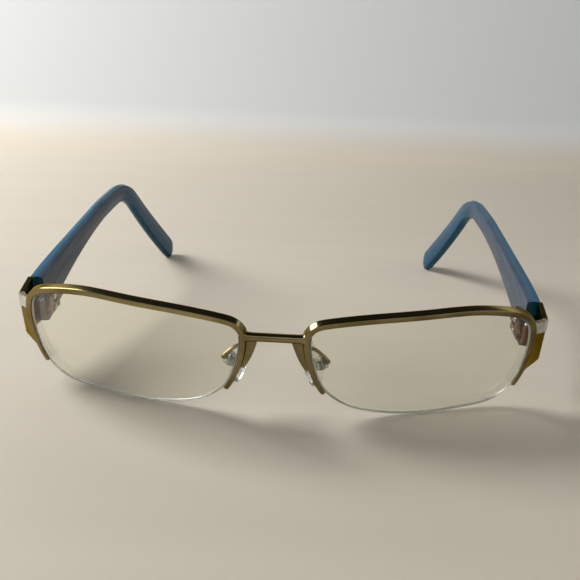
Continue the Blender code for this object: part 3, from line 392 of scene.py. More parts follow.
class Graph:
    """The node graph of a material or a world, with one method that makes every node."""

    def __init__(self, owner: bpy.types.Material | bpy.types.World, shader: str) -> None:
        """Start an owner's nodes and find its shader by name."""
        owner.use_nodes = True
        self.owner = owner
        self.tree = owner.node_tree
        self.shader = self.tree.nodes[shader]

    @classmethod
    def for_material(cls, name: str) -> "Graph":
        """Return the graph of a new material, at its Principled shader."""
        return cls(bpy.data.materials.new(name), "Principled BSDF")

    def link(self, value: "Value | bpy.types.NodeSocket", socket: bpy.types.NodeSocket) -> None:
        """Join a value or a socket to an input."""
        self.tree.links.new(value.socket if isinstance(value, Value) else value, socket)

    def fill(self, node: bpy.types.Node, inputs: dict) -> None:
        """Set or link a node's inputs by name or number."""
        for key, value in inputs.items():
            if isinstance(value, (Value, bpy.types.NodeSocket)):
                self.link(value, node.inputs[key])
            else:
                node.inputs[key].default_value = value

    def node(self, kind: str, settings: dict | None = None, inputs: dict | None = None) -> bpy.types.Node:
        """Return a new node.

        Args:
            kind: The node's type.
            settings: Its own properties, set first; "stops" are a ramp's (position, colour) pairs.
            inputs: The values or links of its sockets.

        Returns:
            The node.
        """
        node = self.tree.nodes.new(kind)
        for key, value in (settings or {}).items():
            if key != "stops":
                setattr(node, key, value)
                continue
            for number, (position, colour) in enumerate(value):
                elements = node.color_ramp.elements
                element = elements[number] if number < 2 else elements.new(position)
                element.position = position
                element.color = (*colour, 1.0)
        self.fill(node, inputs or {})
        return node

    def place(self) -> bpy.types.NodeSocket:
        """Return the Object coordinates."""
        return self.node("ShaderNodeTexCoord").outputs["Object"]

    def attribute(self, name: str) -> bpy.types.Node:
        """Return the node of a mesh attribute."""
        return self.node("ShaderNodeAttribute", {"attribute_name": name})

    def split(self, vector: bpy.types.NodeSocket) -> tuple[Value, Value, Value]:
        """Return the three numbers of a vector."""
        outputs = self.node("ShaderNodeSeparateXYZ", inputs={0: vector}).outputs
        return tuple(Value(self, socket) for socket in outputs)

    def scaled(self, vector: bpy.types.NodeSocket, scale: Triple) -> bpy.types.NodeSocket:
        """Return a vector multiplied axis by axis."""
        node = self.node("ShaderNodeVectorMath", {"operation": "MULTIPLY"}, {0: vector, 1: scale})
        return node.outputs[0]

    def noise(self, vector: bpy.types.NodeSocket, scale: float, detail: float = 3.0,
              roughness: float = 0.55) -> Value:
        """Return noise from 0 to 1 at a number of cells a metre."""
        inputs = {"Vector": vector, "Scale": scale, "Detail": detail, "Roughness": roughness}
        return Value(self, self.node("ShaderNodeTexNoise", inputs=inputs).outputs["Fac"])

    def blend(self, share: "Value | float", first: object, second: object) -> bpy.types.NodeSocket:
        """Return a mix of two colours, from the first at 0 to the second at 1.

        The node's colour sockets are its inputs 6 and 7 and its output 2.
        """
        node = self.node("ShaderNodeMix", {"data_type": "RGBA"})
        colours = [(*c, 1.0) if isinstance(c, tuple) else c for c in (first, second)]
        self.fill(node, {0: share, 6: colours[0], 7: colours[1]})
        return node.outputs[2]

    def bump(self, height: Value, distance: float) -> None:
        """Feed a height to the shader's normal."""
        node = self.node("ShaderNodeBump", inputs={"Height": height, "Distance": distance})
        self.link(node.outputs["Normal"], self.shader.inputs["Normal"])

    def paint(self, colour: bpy.types.NodeSocket, roughness: "Value | None" = None) -> None:
        """Link the shader's colour and, where it varies, its roughness."""
        self.link(colour, self.shader.inputs["Base Color"])
        if roughness is not None:
            self.link(roughness, self.shader.inputs["Roughness"])


# Finishes --------------------------------------------------------------------------------------

@dataclass(frozen=True)
class PolishedMetal:
    """Plated metal: slow changes of tone, tarnish in blotches, fine polishing lines and dust."""

    name: str
    bright: Colour
    dull: Colour
    roughness: float
    spread: float = 0.08
    blotch: float = 90.0
    fine: float = 900.0
    lines: Triple = (900.0, 260.0, 5200.0)
    line_depth: float = 0.0012 * MM
    speck: float = 3800.0
    dust: Colour = (0.5, 0.47, 0.42)
    edge_tint: Colour = (1.0, 1.0, 1.0)

    def material(self) -> bpy.types.Material:
        """Return the node material."""
        graph = Graph.for_material(self.name)
        place = graph.place()
        slow = graph.noise(place, self.blotch, 2.0)
        fine = graph.noise(place, self.fine, 4.0, 0.65)
        lines = graph.noise(graph.scaled(place, self.lines), 1.0, 3.0)
        specks = graph.noise(place, self.speck, 2.0).step(0.66, 0.74)
        tone = slow.step(0.32, 0.68) * 0.7 + fine * 0.3
        colour = graph.blend(tone, self.bright, self.dull)
        colour = graph.blend(specks * 0.18, colour, self.dust)
        graph.paint(colour, self.roughness + (tone - 0.5) * self.spread + lines * 0.05 + specks * 0.12)
        graph.shader.inputs["Metallic"].default_value = 1.0
        graph.shader.inputs["Specular Tint"].default_value = (*self.edge_tint, 1.0)
        graph.bump(lines + fine * 0.6 + specks * 0.8, self.line_depth)
        return graph.owner


@dataclass(frozen=True)
class LaminatedAcetate:
    """Two layers of translucent acetate: clear blue outside, streaked smoky blue inside; painted shade
    darkens the underside.

    Noise scales are in cells a metre along and up the blade, and in cells a half thickness across.
    """

    name: str = "blue_acetate"
    outer: Colour = (0.001, 0.078, 0.15)
    inner: Colour = (0.026, 0.058, 0.092)
    streak: Colour = (0.066, 0.07, 0.115)
    tip: Colour = (0.0, 0.05, 0.105)
    grain: Colour = (0.018, 0.055, 0.1)
    outer_glow: Colour = (0.003, 0.13, 0.235)
    tip_glow: Colour = (0.0, 0.078, 0.155)
    # painted shade: the dark colour mixed into the blade's lower part, and the heights over which it fades
    # out upwards
    shade: Colour = (0.004, 0.03, 0.06)
    joint: float = -0.25
    joint_blur: float = 0.06
    tip_from: tuple[float, float] = (40.0 * MM, 88.0 * MM)
    painted_shade_to: tuple[float, float] = (-12.0 * MM, 4.0 * MM)
    wander_cells: Triple = (22.0, 0.0, 420.0)
    grain_cells: Triple = (60.0, 0.5, 1500.0)
    cloud_cells: Triple = (70.0, 0.7, 260.0)
    scuff_cells: Triple = (500.0, 2.0, 2600.0)
    smear_cells: float = 320.0
    scuff_depth: float = 0.002 * MM

    def material(self) -> bpy.types.Material:
        """Return the node material; it reads the blade's own coordinates along, across and up."""
        graph = Graph.for_material(self.name)
        blade = graph.attribute("blade").outputs["Vector"]
        along, across, up = graph.split(blade)
        wander = graph.noise(graph.scaled(blade, self.wander_cells), 1.0, 3.0, 0.6)
        grain = graph.noise(graph.scaled(blade, self.grain_cells), 1.0, 3.0, 0.6)
        cloud = graph.noise(graph.scaled(blade, self.cloud_cells), 1.0, 2.0)
        inner = graph.blend(wander.step(0.44, 0.62), self.inner, self.streak)
        inner = graph.blend(grain.step(0.5, 0.75) * 0.45, inner, self.grain)
        outer = graph.blend(cloud.step(0.35, 0.75) * 0.6, self.outer, self.outer_glow)
        depth = across + (wander - 0.5) * 0.12
        outside = depth.step(self.joint - self.joint_blur, self.joint + self.joint_blur)
        layers = graph.blend(outside, inner, outer)
        deep = graph.blend(cloud.step(0.3, 0.7) * 0.5, self.tip, self.tip_glow)
        colour = graph.blend(along.step(*self.tip_from) * 0.97, layers, deep)
        # painted shade: up to a quarter of the shade colour, mixed in towards the blade's underside
        colour = graph.blend(up.step(*self.painted_shade_to) * -0.25 + 0.25, colour, self.shade)
        smears = graph.noise(blade, self.smear_cells, 4.0, 0.7)
        scuffs = graph.noise(graph.scaled(blade, self.scuff_cells), 1.0, 2.0).step(0.62, 0.8)
        graph.paint(colour, 0.16 + smears * 0.14 + scuffs * 0.1)
        graph.shader.inputs["Subsurface Weight"].default_value = 0.3
        graph.shader.inputs["Subsurface Radius"].default_value = (0.25, 0.8, 1.0)
        graph.shader.inputs["Subsurface Scale"].default_value = 2.0 * MM
        graph.shader.inputs["IOR"].default_value = 1.48
        graph.shader.inputs["Specular IOR Level"].default_value = 0.16
        graph.bump(smears * 0.7 + scuffs * 0.4, self.scuff_depth)
        return graph.owner


@dataclass(frozen=True)
class LensResin:
    """Clear optical resin: smudged polished faces and a ground, milky edge."""

    name: str = "lens_resin"
    body: Colour = (0.925, 0.93, 0.855)
    edge: Colour = (0.83, 0.87, 0.78)
    dust: Colour = (0.75, 0.74, 0.7)
    smudge_cells: float = 140.0
    dust_cells: float = 2600.0
    ground_cells: float = 5200.0
    ground_depth: float = 0.0008 * MM

    def material(self) -> bpy.types.Material:
        """Return the node material; the edge attribute is 1 on the ground edge."""
        graph = Graph.for_material(self.name)
        edge = Value(graph, graph.attribute("edge").outputs["Fac"])
        place = graph.place()
        smudge = graph.noise(place, self.smudge_cells, 4.0, 0.6).step(0.5, 0.8)
        dust = graph.noise(place, self.dust_cells, 1.0).step(0.74, 0.8)
        colour = graph.blend(edge, self.body, self.edge)
        colour = graph.blend(dust * 0.3, colour, self.dust)
        graph.paint(colour, smudge * 0.035 + dust * 0.1 + edge * 0.34)
        graph.shader.inputs["Transmission Weight"].default_value = 1.0
        graph.shader.inputs["IOR"].default_value = 1.5
        graph.bump(smudge + edge * graph.noise(place, self.ground_cells, 3.0) * 4.0, self.ground_depth)
        return graph.owner


@dataclass(frozen=True)
class ClearPlastic:
    """Clear soft plastic: faintly tinted, hazy, with tiny dimples."""

    name: str
    tint: Colour
    haze: Colour
    roughness: float
    clarity: float
    ior: float = 1.43
    cloud_cells: float = 420.0
    dimple_cells: float = 2900.0
    dimple_depth: float = 0.003 * MM

    def material(self) -> bpy.types.Material:
        """Return the node material."""
        graph = Graph.for_material(self.name)
        place = graph.place()
        cloud = graph.noise(place, self.cloud_cells, 3.0)
        dimples = graph.noise(place, self.dimple_cells, 2.0)
        colour = graph.blend(cloud.step(0.35, 0.7), self.tint, self.haze)
        graph.paint(colour, self.roughness + cloud * 0.12)
        graph.shader.inputs["Transmission Weight"].default_value = self.clarity
        graph.shader.inputs["IOR"].default_value = self.ior
        graph.bump(dimples, self.dimple_depth)
        return graph.owner


class Finish(Enum):
    """The object's finishes, by the record's material slot."""

    GOLD = "antique_gold"
    SILVER = "silver_accent"
    BRONZE = "hinge_bronze"
    STEEL = "screw_steel"
    ACETATE = "blue_acetate"
    LENS = "lens_glass"
    NYLON = "nylon"
    SILICONE = "clear_silicone"


RECIPES = {
    Finish.GOLD: PolishedMetal("antique_gold", (0.37, 0.3, 0.15), (0.18, 0.137, 0.06), 0.15,
                               edge_tint=(0.5, 0.4, 0.22)),
    Finish.SILVER: PolishedMetal("silver_accent", (0.66, 0.68, 0.65), (0.34, 0.34, 0.31), 0.17,
                                 blotch=420.0),
    Finish.BRONZE: PolishedMetal("hinge_bronze", (0.27, 0.135, 0.08), (0.1, 0.055, 0.035), 0.2,
                                 blotch=420.0),
    Finish.STEEL: PolishedMetal("screw_steel", (0.66, 0.66, 0.64), (0.4, 0.4, 0.39), 0.15,
                                blotch=500.0),
    Finish.ACETATE: LaminatedAcetate(),
    Finish.LENS: LensResin(),
    Finish.NYLON: ClearPlastic("nylon", (0.86, 0.88, 0.83), (0.7, 0.72, 0.66), 0.12, 0.85, 1.53),
    Finish.SILICONE: ClearPlastic("clear_silicone", (0.9, 0.9, 0.85), (0.8, 0.8, 0.73), 0.09, 0.97),
}


class Wardrobe:
    """Makes each finish's material once."""

    def __init__(self) -> None:
        """Start with no materials."""
        self._made: dict[Finish, bpy.types.Material] = {}

    def get(self, finish: Finish) -> bpy.types.Material:
        """Return the finish's material."""
        if finish not in self._made:
            self._made[finish] = RECIPES[finish].material()
        return self._made[finish]


WARDROBE = Wardrobe()


# Objects ---------------------------------------------------------------------------------------

def make_object(name: str, surface: Surface, angle: float = SHARP) -> bpy.types.Object:
    """Return an object made from a surface.

    Args:
        name: The object's name.
        surface: Its points, faces and attributes.
        angle: Edges sharper than this stay sharp.

    Returns:
        The linked object at the origin.
    """
    mesh = bpy.data.meshes.new(name)
    faces = surface.quads.tolist() + surface.triangles.tolist()
    mesh.from_pydata(surface.points.tolist(), [], faces)
    for key, values in surface.fields.items():
        kind, part = ("FLOAT_VECTOR", "vector") if values.ndim == 2 else ("FLOAT", "value")
        attribute = mesh.attributes.new(key, kind, "POINT")
        attribute.data.foreach_set(part, values.ravel().astype(np.float32))
    return place_mesh(name, mesh, angle)


def place_mesh(name: str, mesh: bpy.types.Mesh, angle: float) -> bpy.types.Object:
    """Return a linked object at the origin, smooth but for the edges sharper than an angle."""
    mesh.shade_smooth()
    mesh.set_sharp_from_angle(angle=angle)
    obj = bpy.data.objects.new(name, mesh)
    bpy.context.scene.collection.objects.link(obj)
    return obj


def bevel(obj: bpy.types.Object, width: float, segments: int = 3) -> bpy.types.Object:
    """Round an object's sharp edges and return it."""
    modifier = obj.modifiers.new("edge rounding", "BEVEL")
    modifier.width = width
    modifier.segments = segments
    modifier.limit_method = "ANGLE"
    modifier.angle_limit = SHARP
    modifier.harden_normals = True
    return obj


def dress(obj: bpy.types.Object, finish: Finish, body: str, *nodes: str) -> None:
    """Give a piece its finish, its body and the solids that it stands for."""
    obj.data.materials.clear()
    obj.data.materials.append(WARDROBE.get(finish))
    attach(obj, body)
    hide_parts(*nodes)
    LOG.info("%s on %s: %d faces", obj.name, body, len(obj.data.polygons))


def refined(name: str, node: str, width: float) -> bpy.types.Object:
    """Return a merged copy of a solid with rounded edges.

    Args:
        name: The new object's name.
        node: The solid that is copied.
        width: How wide its rounded edges are.

    Returns:
        The new object; flat regions are joined into single faces before the rounding.
    """
    mesh = frame["nodes"][node].data.copy()
    mesh.name = name
    bm = bmesh.new()
    bm.from_mesh(mesh)
    bmesh.ops.remove_doubles(bm, verts=bm.verts, dist=MERGE_DISTANCE)
    bmesh.ops.dissolve_limit(bm, angle_limit=FLAT, verts=bm.verts, edges=bm.edges)
    bm.to_mesh(mesh)
    bm.free()
    return bevel(place_mesh(name, mesh, SHARP), width, 2)


# Front -----------------------------------------------------------------------------------------

@dataclass
class LensFront:
    """The shape that both fronts follow: a lens outline on one large sphere that leans back.

    The outline's corners, and the levels where the eyewire ends, are in half widths and half
    heights. The slot is the groove between eyewire and lens, measured back from the front sphere.
    """

    radius: float = 144.0 * MM
    lean: float = math.radians(21.8)
    width: float = 55.1 * MM
    height: float = 33.5 * MM
    bridge_gap: float = 15.8 * MM
    level: float = 13.4 * MM
    gap: float = 0.1 * MM
    rim_height: float = 1.45 * MM
    flank_height: float = 1.1 * MM
    rim_depth: float = 2.2 * MM
    proud: float = 0.25 * MM
    slot_start: float = 0.55 * MM
    slot_width: float = 0.7 * MM
    taper: float = 20.0 * MM
    nasal_end: float = -0.26
    temporal_end: float = -0.69
    count: int = 1008
    span_steps: int = 60
    softness: float = 0.7 * MM
    flank_share: float = 0.3
    corners: tuple[tuple[float, float], ...] = (
        (-1.000, 0.688), (-0.968, 0.849), (-0.870, 0.938), (-0.514, 0.999), (-0.079, 1.000),
        (0.357, 0.963), (0.683, 0.835), (0.887, 0.676), (0.974, 0.455), (1.000, 0.030),
        (0.970, -0.478), (0.887, -0.813), (0.713, -0.985), (0.393, -0.978), (0.030, -0.939),
        (-0.315, -0.825), (-0.605, -0.646), (-0.776, -0.419), (-0.870, -0.215), (-0.932, 0.036),
        (-0.979, 0.329),
    )

    def __post_init__(self) -> None:
        """Work out the outline and the place of the lens."""
        self._draw_outline()
        self.place = self._seat()

    def _draw_outline(self) -> None:
        """Keep the outline from the eyewire's nasal end on, its normals and the eyewire's height."""
        half = np.array([self.width, self.height]) / 2.0
        dense = curve_through(np.array(self.corners) * half, self.span_steps, closed=True)
        start = np.argmin(np.where(dense[:, 0] < 0.0, np.abs(dense[:, 1] - self.nasal_end * half[1]), 1.0))
        dense = np.roll(dense, -start, axis=0)
        even = resample(np.concatenate([dense, dense[:1]]), self.count + 1)[:-1]
        self.points = self._soft_loop(even, self.softness)
        tangent = unit(np.roll(self.points, -1, axis=0) - np.roll(self.points, 1, axis=0))
        self.normals = np.stack([-tangent[:, 1], tangent[:, 0]], axis=-1)
        self.spacing = float(np.linalg.norm(self.points[1] - self.points[0]))
        level = self.temporal_end * half[1]
        self.end = int(np.argmin(np.where(self.points[:, 0] > 0.0, np.abs(self.points[:, 1] - level), 1.0)))
        station = np.arange(self.count)
        distance = np.minimum(station, self.end - station) * self.spacing
        growth = self.rim_height - self.flank_height
        self.heights = self.flank_height + growth * ease(distance / self.taper)

    def _seat(self) -> Place:
        """Return the lens's frame: X across, Y back through the sphere's centre, Z up the lens.

        The sphere's centre lies back and up from the middle of the row by the lean, and the lens's
        own centre is the sphere's point half a lens and half a bridge aside.
        """
        lean = np.array([0.0, math.cos(self.lean), math.sin(self.lean)])
        touch = np.array([0.0, -math.tan(self.lean) * self.level, self.level])
        centre = touch + lean * self.radius
        x = (self.bridge_gap + self.width) / 2.0
        rise = self.level - centre[2]
        origin = np.array([x, centre[1] - math.sqrt(self.radius**2 - x**2 - rise**2), self.level])
        depth = unit(centre - origin)
        across = unit(np.array([1.0, 0.0, 0.0]) - depth * depth[0])
        return Place(origin, np.stack([across, depth, np.cross(across, depth)]))

    def _soft_loop(self, points: Array, width: float) -> Array:
        """Return a closed curve whose waves are damped by exp(-(k w)^2 / 2), for wave number k."""
        wave = np.fft.fft(points[:, 0] + 1j * points[:, 1])
        length = np.linalg.norm(np.roll(points, -1, axis=0) - points, axis=-1).sum()
        number = 2.0 * math.pi * np.fft.fftfreq(len(points), length / len(points))
        soft = np.fft.ifft(wave * np.exp(-0.5 * (number * width) ** 2))
        return np.stack([soft.real, soft.imag], axis=-1)

    def sag(self, points: Array, radius: float) -> Array:
        """Return how far a sphere falls back from its tangent plane: r - sqrt(r^2 - x^2 - y^2)."""
        return radius - np.sqrt(radius * radius - (points**2).sum(axis=-1))

    def section(self, stations: Array, outward: Array, depth: Array) -> Array:
        """Return sections beside the outline.

        Args:
            stations: Numbers of the outline points, shaped (sections,).
            outward: Distances outside the outline, shaped (sections, points) or (points,).
            depth: Distances behind the front sphere, in the same shape.

        Returns:
            World points shaped (sections, points, 3).
        """
        stations = stations % self.count
        base = self.points[stations][:, None]
        spot = base + self.normals[stations][:, None] * np.broadcast_to(outward, depth.shape)[..., None]
        back = self.sag(base, self.radius) + depth
        return self.place.world(np.stack([spot[..., 0], back, spot[..., 1]], axis=-1))

    def flank(self, levels: Array, temporal: bool) -> tuple[Array, Array, Array]:
        """Return outline points, normals and eyewire heights at levels on one flank."""
        reach = self.width * self.flank_share
        side = self.points[:, 0] > reach if temporal else self.points[:, 0] < -reach
        chosen = np.flatnonzero(side & (np.arange(self.count) <= self.end))
        chosen = chosen[np.argsort(self.points[chosen, 1])]
        table = np.column_stack([self.points[chosen], self.normals[chosen], self.heights[chosen]])
        found = np.stack([np.interp(levels, table[:, 1], column) for column in table.T], axis=-1)
        return found[:, :2], found[:, 2:4], found[:, 4]

    def beside(self, levels: Array, temporal: bool, outward: Array | float, depth: float,
               clear: bool = True) -> Array:
        """Return world points outside the eyewire's flank at levels, or outside the lens itself."""
        points, normals, heights = self.flank(levels, temporal)
        reach = outward + (heights if clear else 0.0)
        spot = points + normals * np.broadcast_to(reach, heights.shape)[:, None]
        back = self.sag(points, self.radius) + depth
        return self.place.world(np.stack([spot[:, 0], back, spot[:, 1]], axis=-1))


@dataclass
class Eyewire:
    """The polished channel that follows the top and both flanks of a lens."""

    front: LensFront
    channel: float = 0.65 * MM
    outer_radius: float = 0.42 * MM
    lip_radius: float = 0.1 * MM
    slot_radius: float = 0.04 * MM
    end_rounding: float = 0.4 * MM
    liner_reach: tuple[float, float] = (-0.5 * MM, 0.55 * MM)
    liner_half: float = 0.25 * MM
    liner_radius: float = 0.1 * MM
    liner_inset: int = 36

    def surface(self) -> Surface:
        """Return the C-shaped section carried along the outline, with rounded ends."""
        front = self.front
        stations = np.arange(0, front.end + 1, 2)
        height = front.heights[stations]
        ahead, behind = -front.proud, front.rim_depth - front.proud
        slot = (front.slot_start, front.slot_start + front.slot_width)
        lip = np.full_like(height, front.gap * 0.5)
        deep = np.full_like(height, self.channel)
        outward = np.stack([lip, height, height, lip, lip, deep, deep, lip], axis=-1)
        depth = np.array([ahead, ahead, behind, behind, slot[1], slot[1], slot[0], slot[0]])
        corners = np.stack([outward, np.broadcast_to(depth, outward.shape)], axis=-1)
        outside = [self.lip_radius, self.outer_radius, self.outer_radius, self.lip_radius]
        profile = round_corners(corners, np.array(outside + [self.slot_radius] * 4), 7)
        rings = front.section(stations, profile[..., 0], profile[..., 1])
        return loft(rounded_ends(rings, self.end_rounding))

    def liner(self) -> Surface:
        """Return the clear liner between the channel and the lens groove."""
        front = self.front
        stations = np.arange(self.liner_inset, front.end + 1 - self.liner_inset, 3)
        middle = front.slot_start + front.slot_width / 2.0
        low, high = self.liner_reach
        near, far = middle - self.liner_half, middle + self.liner_half
        corners = np.array([(low, near), (high, near), (high, far), (low, far)])
        corners = np.broadcast_to(corners, (len(stations), 4, 2))
        profile = round_corners(corners, np.full(4, self.liner_radius), 4)
        return loft(front.section(stations, profile[..., 0], profile[..., 1]))

    def build(self, side: Side) -> None:
        """Make both pieces on one side."""
        rim = make_object(side.name_of("rim"), self.surface().on_side(side))
        dress(rim, Finish.GOLD, "frame", side.name_of("eyewire"))
        liner = make_object(side.name_of("liner"), self.liner().on_side(side))
        dress(liner, Finish.NYLON, "frame", side.name_of("rim_liner"))


@dataclass
class LensBlank:
    """The minus lens with its ground, grooved edge, and the cord that lies in the groove."""

    front: LensFront
    back_radius: float = 105.0 * MM
    thickness: float = 1.6 * MM
    groove_depth: float = 0.6 * MM
    groove_lip: float = 0.04 * MM
    groove_rounding: float = 0.05 * MM
    groove_slope: tuple[float, float] = (0.1 * MM, 0.25 * MM)
    chamfer: float = 0.16 * MM
    cord_radius: float = 0.25 * MM
    cord_tuck: tuple[int, int] = (12, 25)
    face_rings: int = 21

    def surface(self) -> Surface:
        """Return rings from the front pole over the edge to the back pole.

        The rings of both faces stand at the sines of even angles, so they close up to the edge.
        """
        front = self.front
        stations = np.arange(0, front.count, 3)
        outline = front.points[stations]
        inner = outline - front.normals[stations] * self.chamfer
        shares = np.sin(np.linspace(0.0, math.pi / 2.0, self.face_rings + 1))[1:]
        ahead = [self._face(inner * share, front.radius, 0.0) for share in shares]
        behind = [self._face(inner * share, self.back_radius, self.thickness) for share in shares[::-1]]
        level = np.ones((len(stations), 1))
        wall = [front.section(stations, np.array([outward]), level * depth)[:, 0]
                for outward, depth in self._groove()]
        bulge = front.sag(outline, self.back_radius) - front.sag(outline, front.radius)
        last = (bulge + self.thickness - self.chamfer)[:, None]
        wall.append(front.section(stations, np.array([0.0]), last)[:, 0])
        rings = np.stack(ahead + wall + behind)
        ground = np.repeat([0.0, 1.0, 0.0], [len(ahead), len(wall), len(behind)])
        return loft(rings, {"edge": np.broadcast_to(ground[:, None], rings.shape[:2])})

    def _groove(self) -> list[tuple[float, float]]:
        """Return the edge's section up to the groove's far lip, as pairs of outward and depth."""
        slope, flat = self.groove_slope
        start, end = self.front.slot_start, self.front.slot_start + self.front.slot_width
        nose, floor = -self.groove_rounding, -self.groove_depth
        side = floor + self.groove_rounding
        return [
            (0.0, self.chamfer), (0.0, start - self.groove_lip), (nose, start), (side, start + slope),
            (floor, start + flat), (floor, end - flat),
            (side, end - slope), (nose, end), (0.0, end + self.groove_lip),
        ]

    def _face(self, points: Array, radius: float, offset: float) -> Array:
        """Return points of one polished face."""
        back = self.front.sag(points, radius) + offset
        return self.front.place.world(np.stack([points[:, 0], back, points[:, 1]], axis=-1))

    def cord(self) -> Surface:
        """Return the cord along the lower groove, its ends inside the eyewire."""
        front = self.front
        before, after = self.cord_tuck
        stations = np.arange(front.end - before, front.count + after, 4)
        inset = self.groove_depth - self.cord_radius - front.gap
        middle = front.slot_start + front.slot_width / 2.0
        path = front.section(stations, np.array([-inset]), np.full((len(stations), 1), middle))[:, 0]
        return tube(path, self.cord_radius, 12)

    def build(self, side: Side) -> None:
        """Make the lens and its cord on one side."""
        lens = make_object(side.name_of("lens_blank"), self.surface().on_side(side), math.radians(40.0))
        dress(lens, Finish.LENS, "frame", side.name_of("lens"))
        cord = make_object(side.name_of("cord"), self.cord().on_side(side))
        dress(cord, Finish.NYLON, "frame", side.name_of("nylon_cord"))


@dataclass
class Bridge:
    """The round bar between the eyewires, with small solder fillets, and the fins below it."""

    front: LensFront
    radius: float = 1.05 * MM
    level: float = 12.1 * MM
    setback: float = 0.8 * MM
    sink: float = 0.6 * MM
    fillet: float = 0.5 * MM
    fillet_length: float = 0.55 * MM
    fin_gap: float = 0.02 * MM
    fin_width: float = 2.3 * MM
    fin_tip: float = 0.5 * MM
    fin_length: float = 8.2 * MM
    fin_depth: float = 1.5 * MM
    fin_setback: float = 0.6 * MM
    fin_start: float = 0.7
    fin_curve: float = 0.8
    fin_edge: float = 0.16 * MM
    fin_rows: int = 60

    def bar(self) -> Surface:
        """Return the bar; its radius grows by a falling exponential towards both ends."""
        end = self.front.beside(np.array([self.level]), False, -self.sink, self.setback)[0]
        start = end * np.array([-1.0, 1.0, 1.0])
        share = np.linspace(0.0, 1.0, 97)[:, None]
        path = start + (end - start) * share
        distance = np.minimum(share, 1.0 - share)[:, 0] * (end - start)[0]
        return tube(path, self.radius + self.fillet * np.exp(-distance / self.fillet_length), 40)

    def fin(self) -> Surface:
        """Return the plate that hangs along the nasal flank.

        It starts within the bar, and its width narrows as a power of the share that is left.
        """
        top = self.level - self.radius * self.fin_start
        levels = np.linspace(top, top - self.fin_length, self.fin_rows)
        share = np.linspace(1.0, 0.0, self.fin_rows)
        width = self.fin_tip + (self.fin_width - self.fin_tip) * share**self.fin_curve
        near = self.front.beside(levels, False, self.fin_gap, self.fin_setback)
        far = self.front.beside(levels, False, self.fin_gap + width, self.fin_setback)
        back = self.front.place.axes[1] * self.fin_depth
        outer = np.stack([near, far], axis=0)
        return masked_slab(outer, outer + back, np.ones((1, self.fin_rows - 1), bool))

    def build(self) -> None:
        """Make the bar and both fins."""
        dress(make_object("bridge_bar", self.bar()), Finish.GOLD, "frame", "bridge")
        for side in Side:
            fin = bevel(make_object(side.name_of("fin"), self.fin().on_side(side)), self.fin_edge)
            dress(fin, Finish.GOLD, "frame", side.name_of("nasal_fin"))


# Nose pads -------------------------------------------------------------------------------------

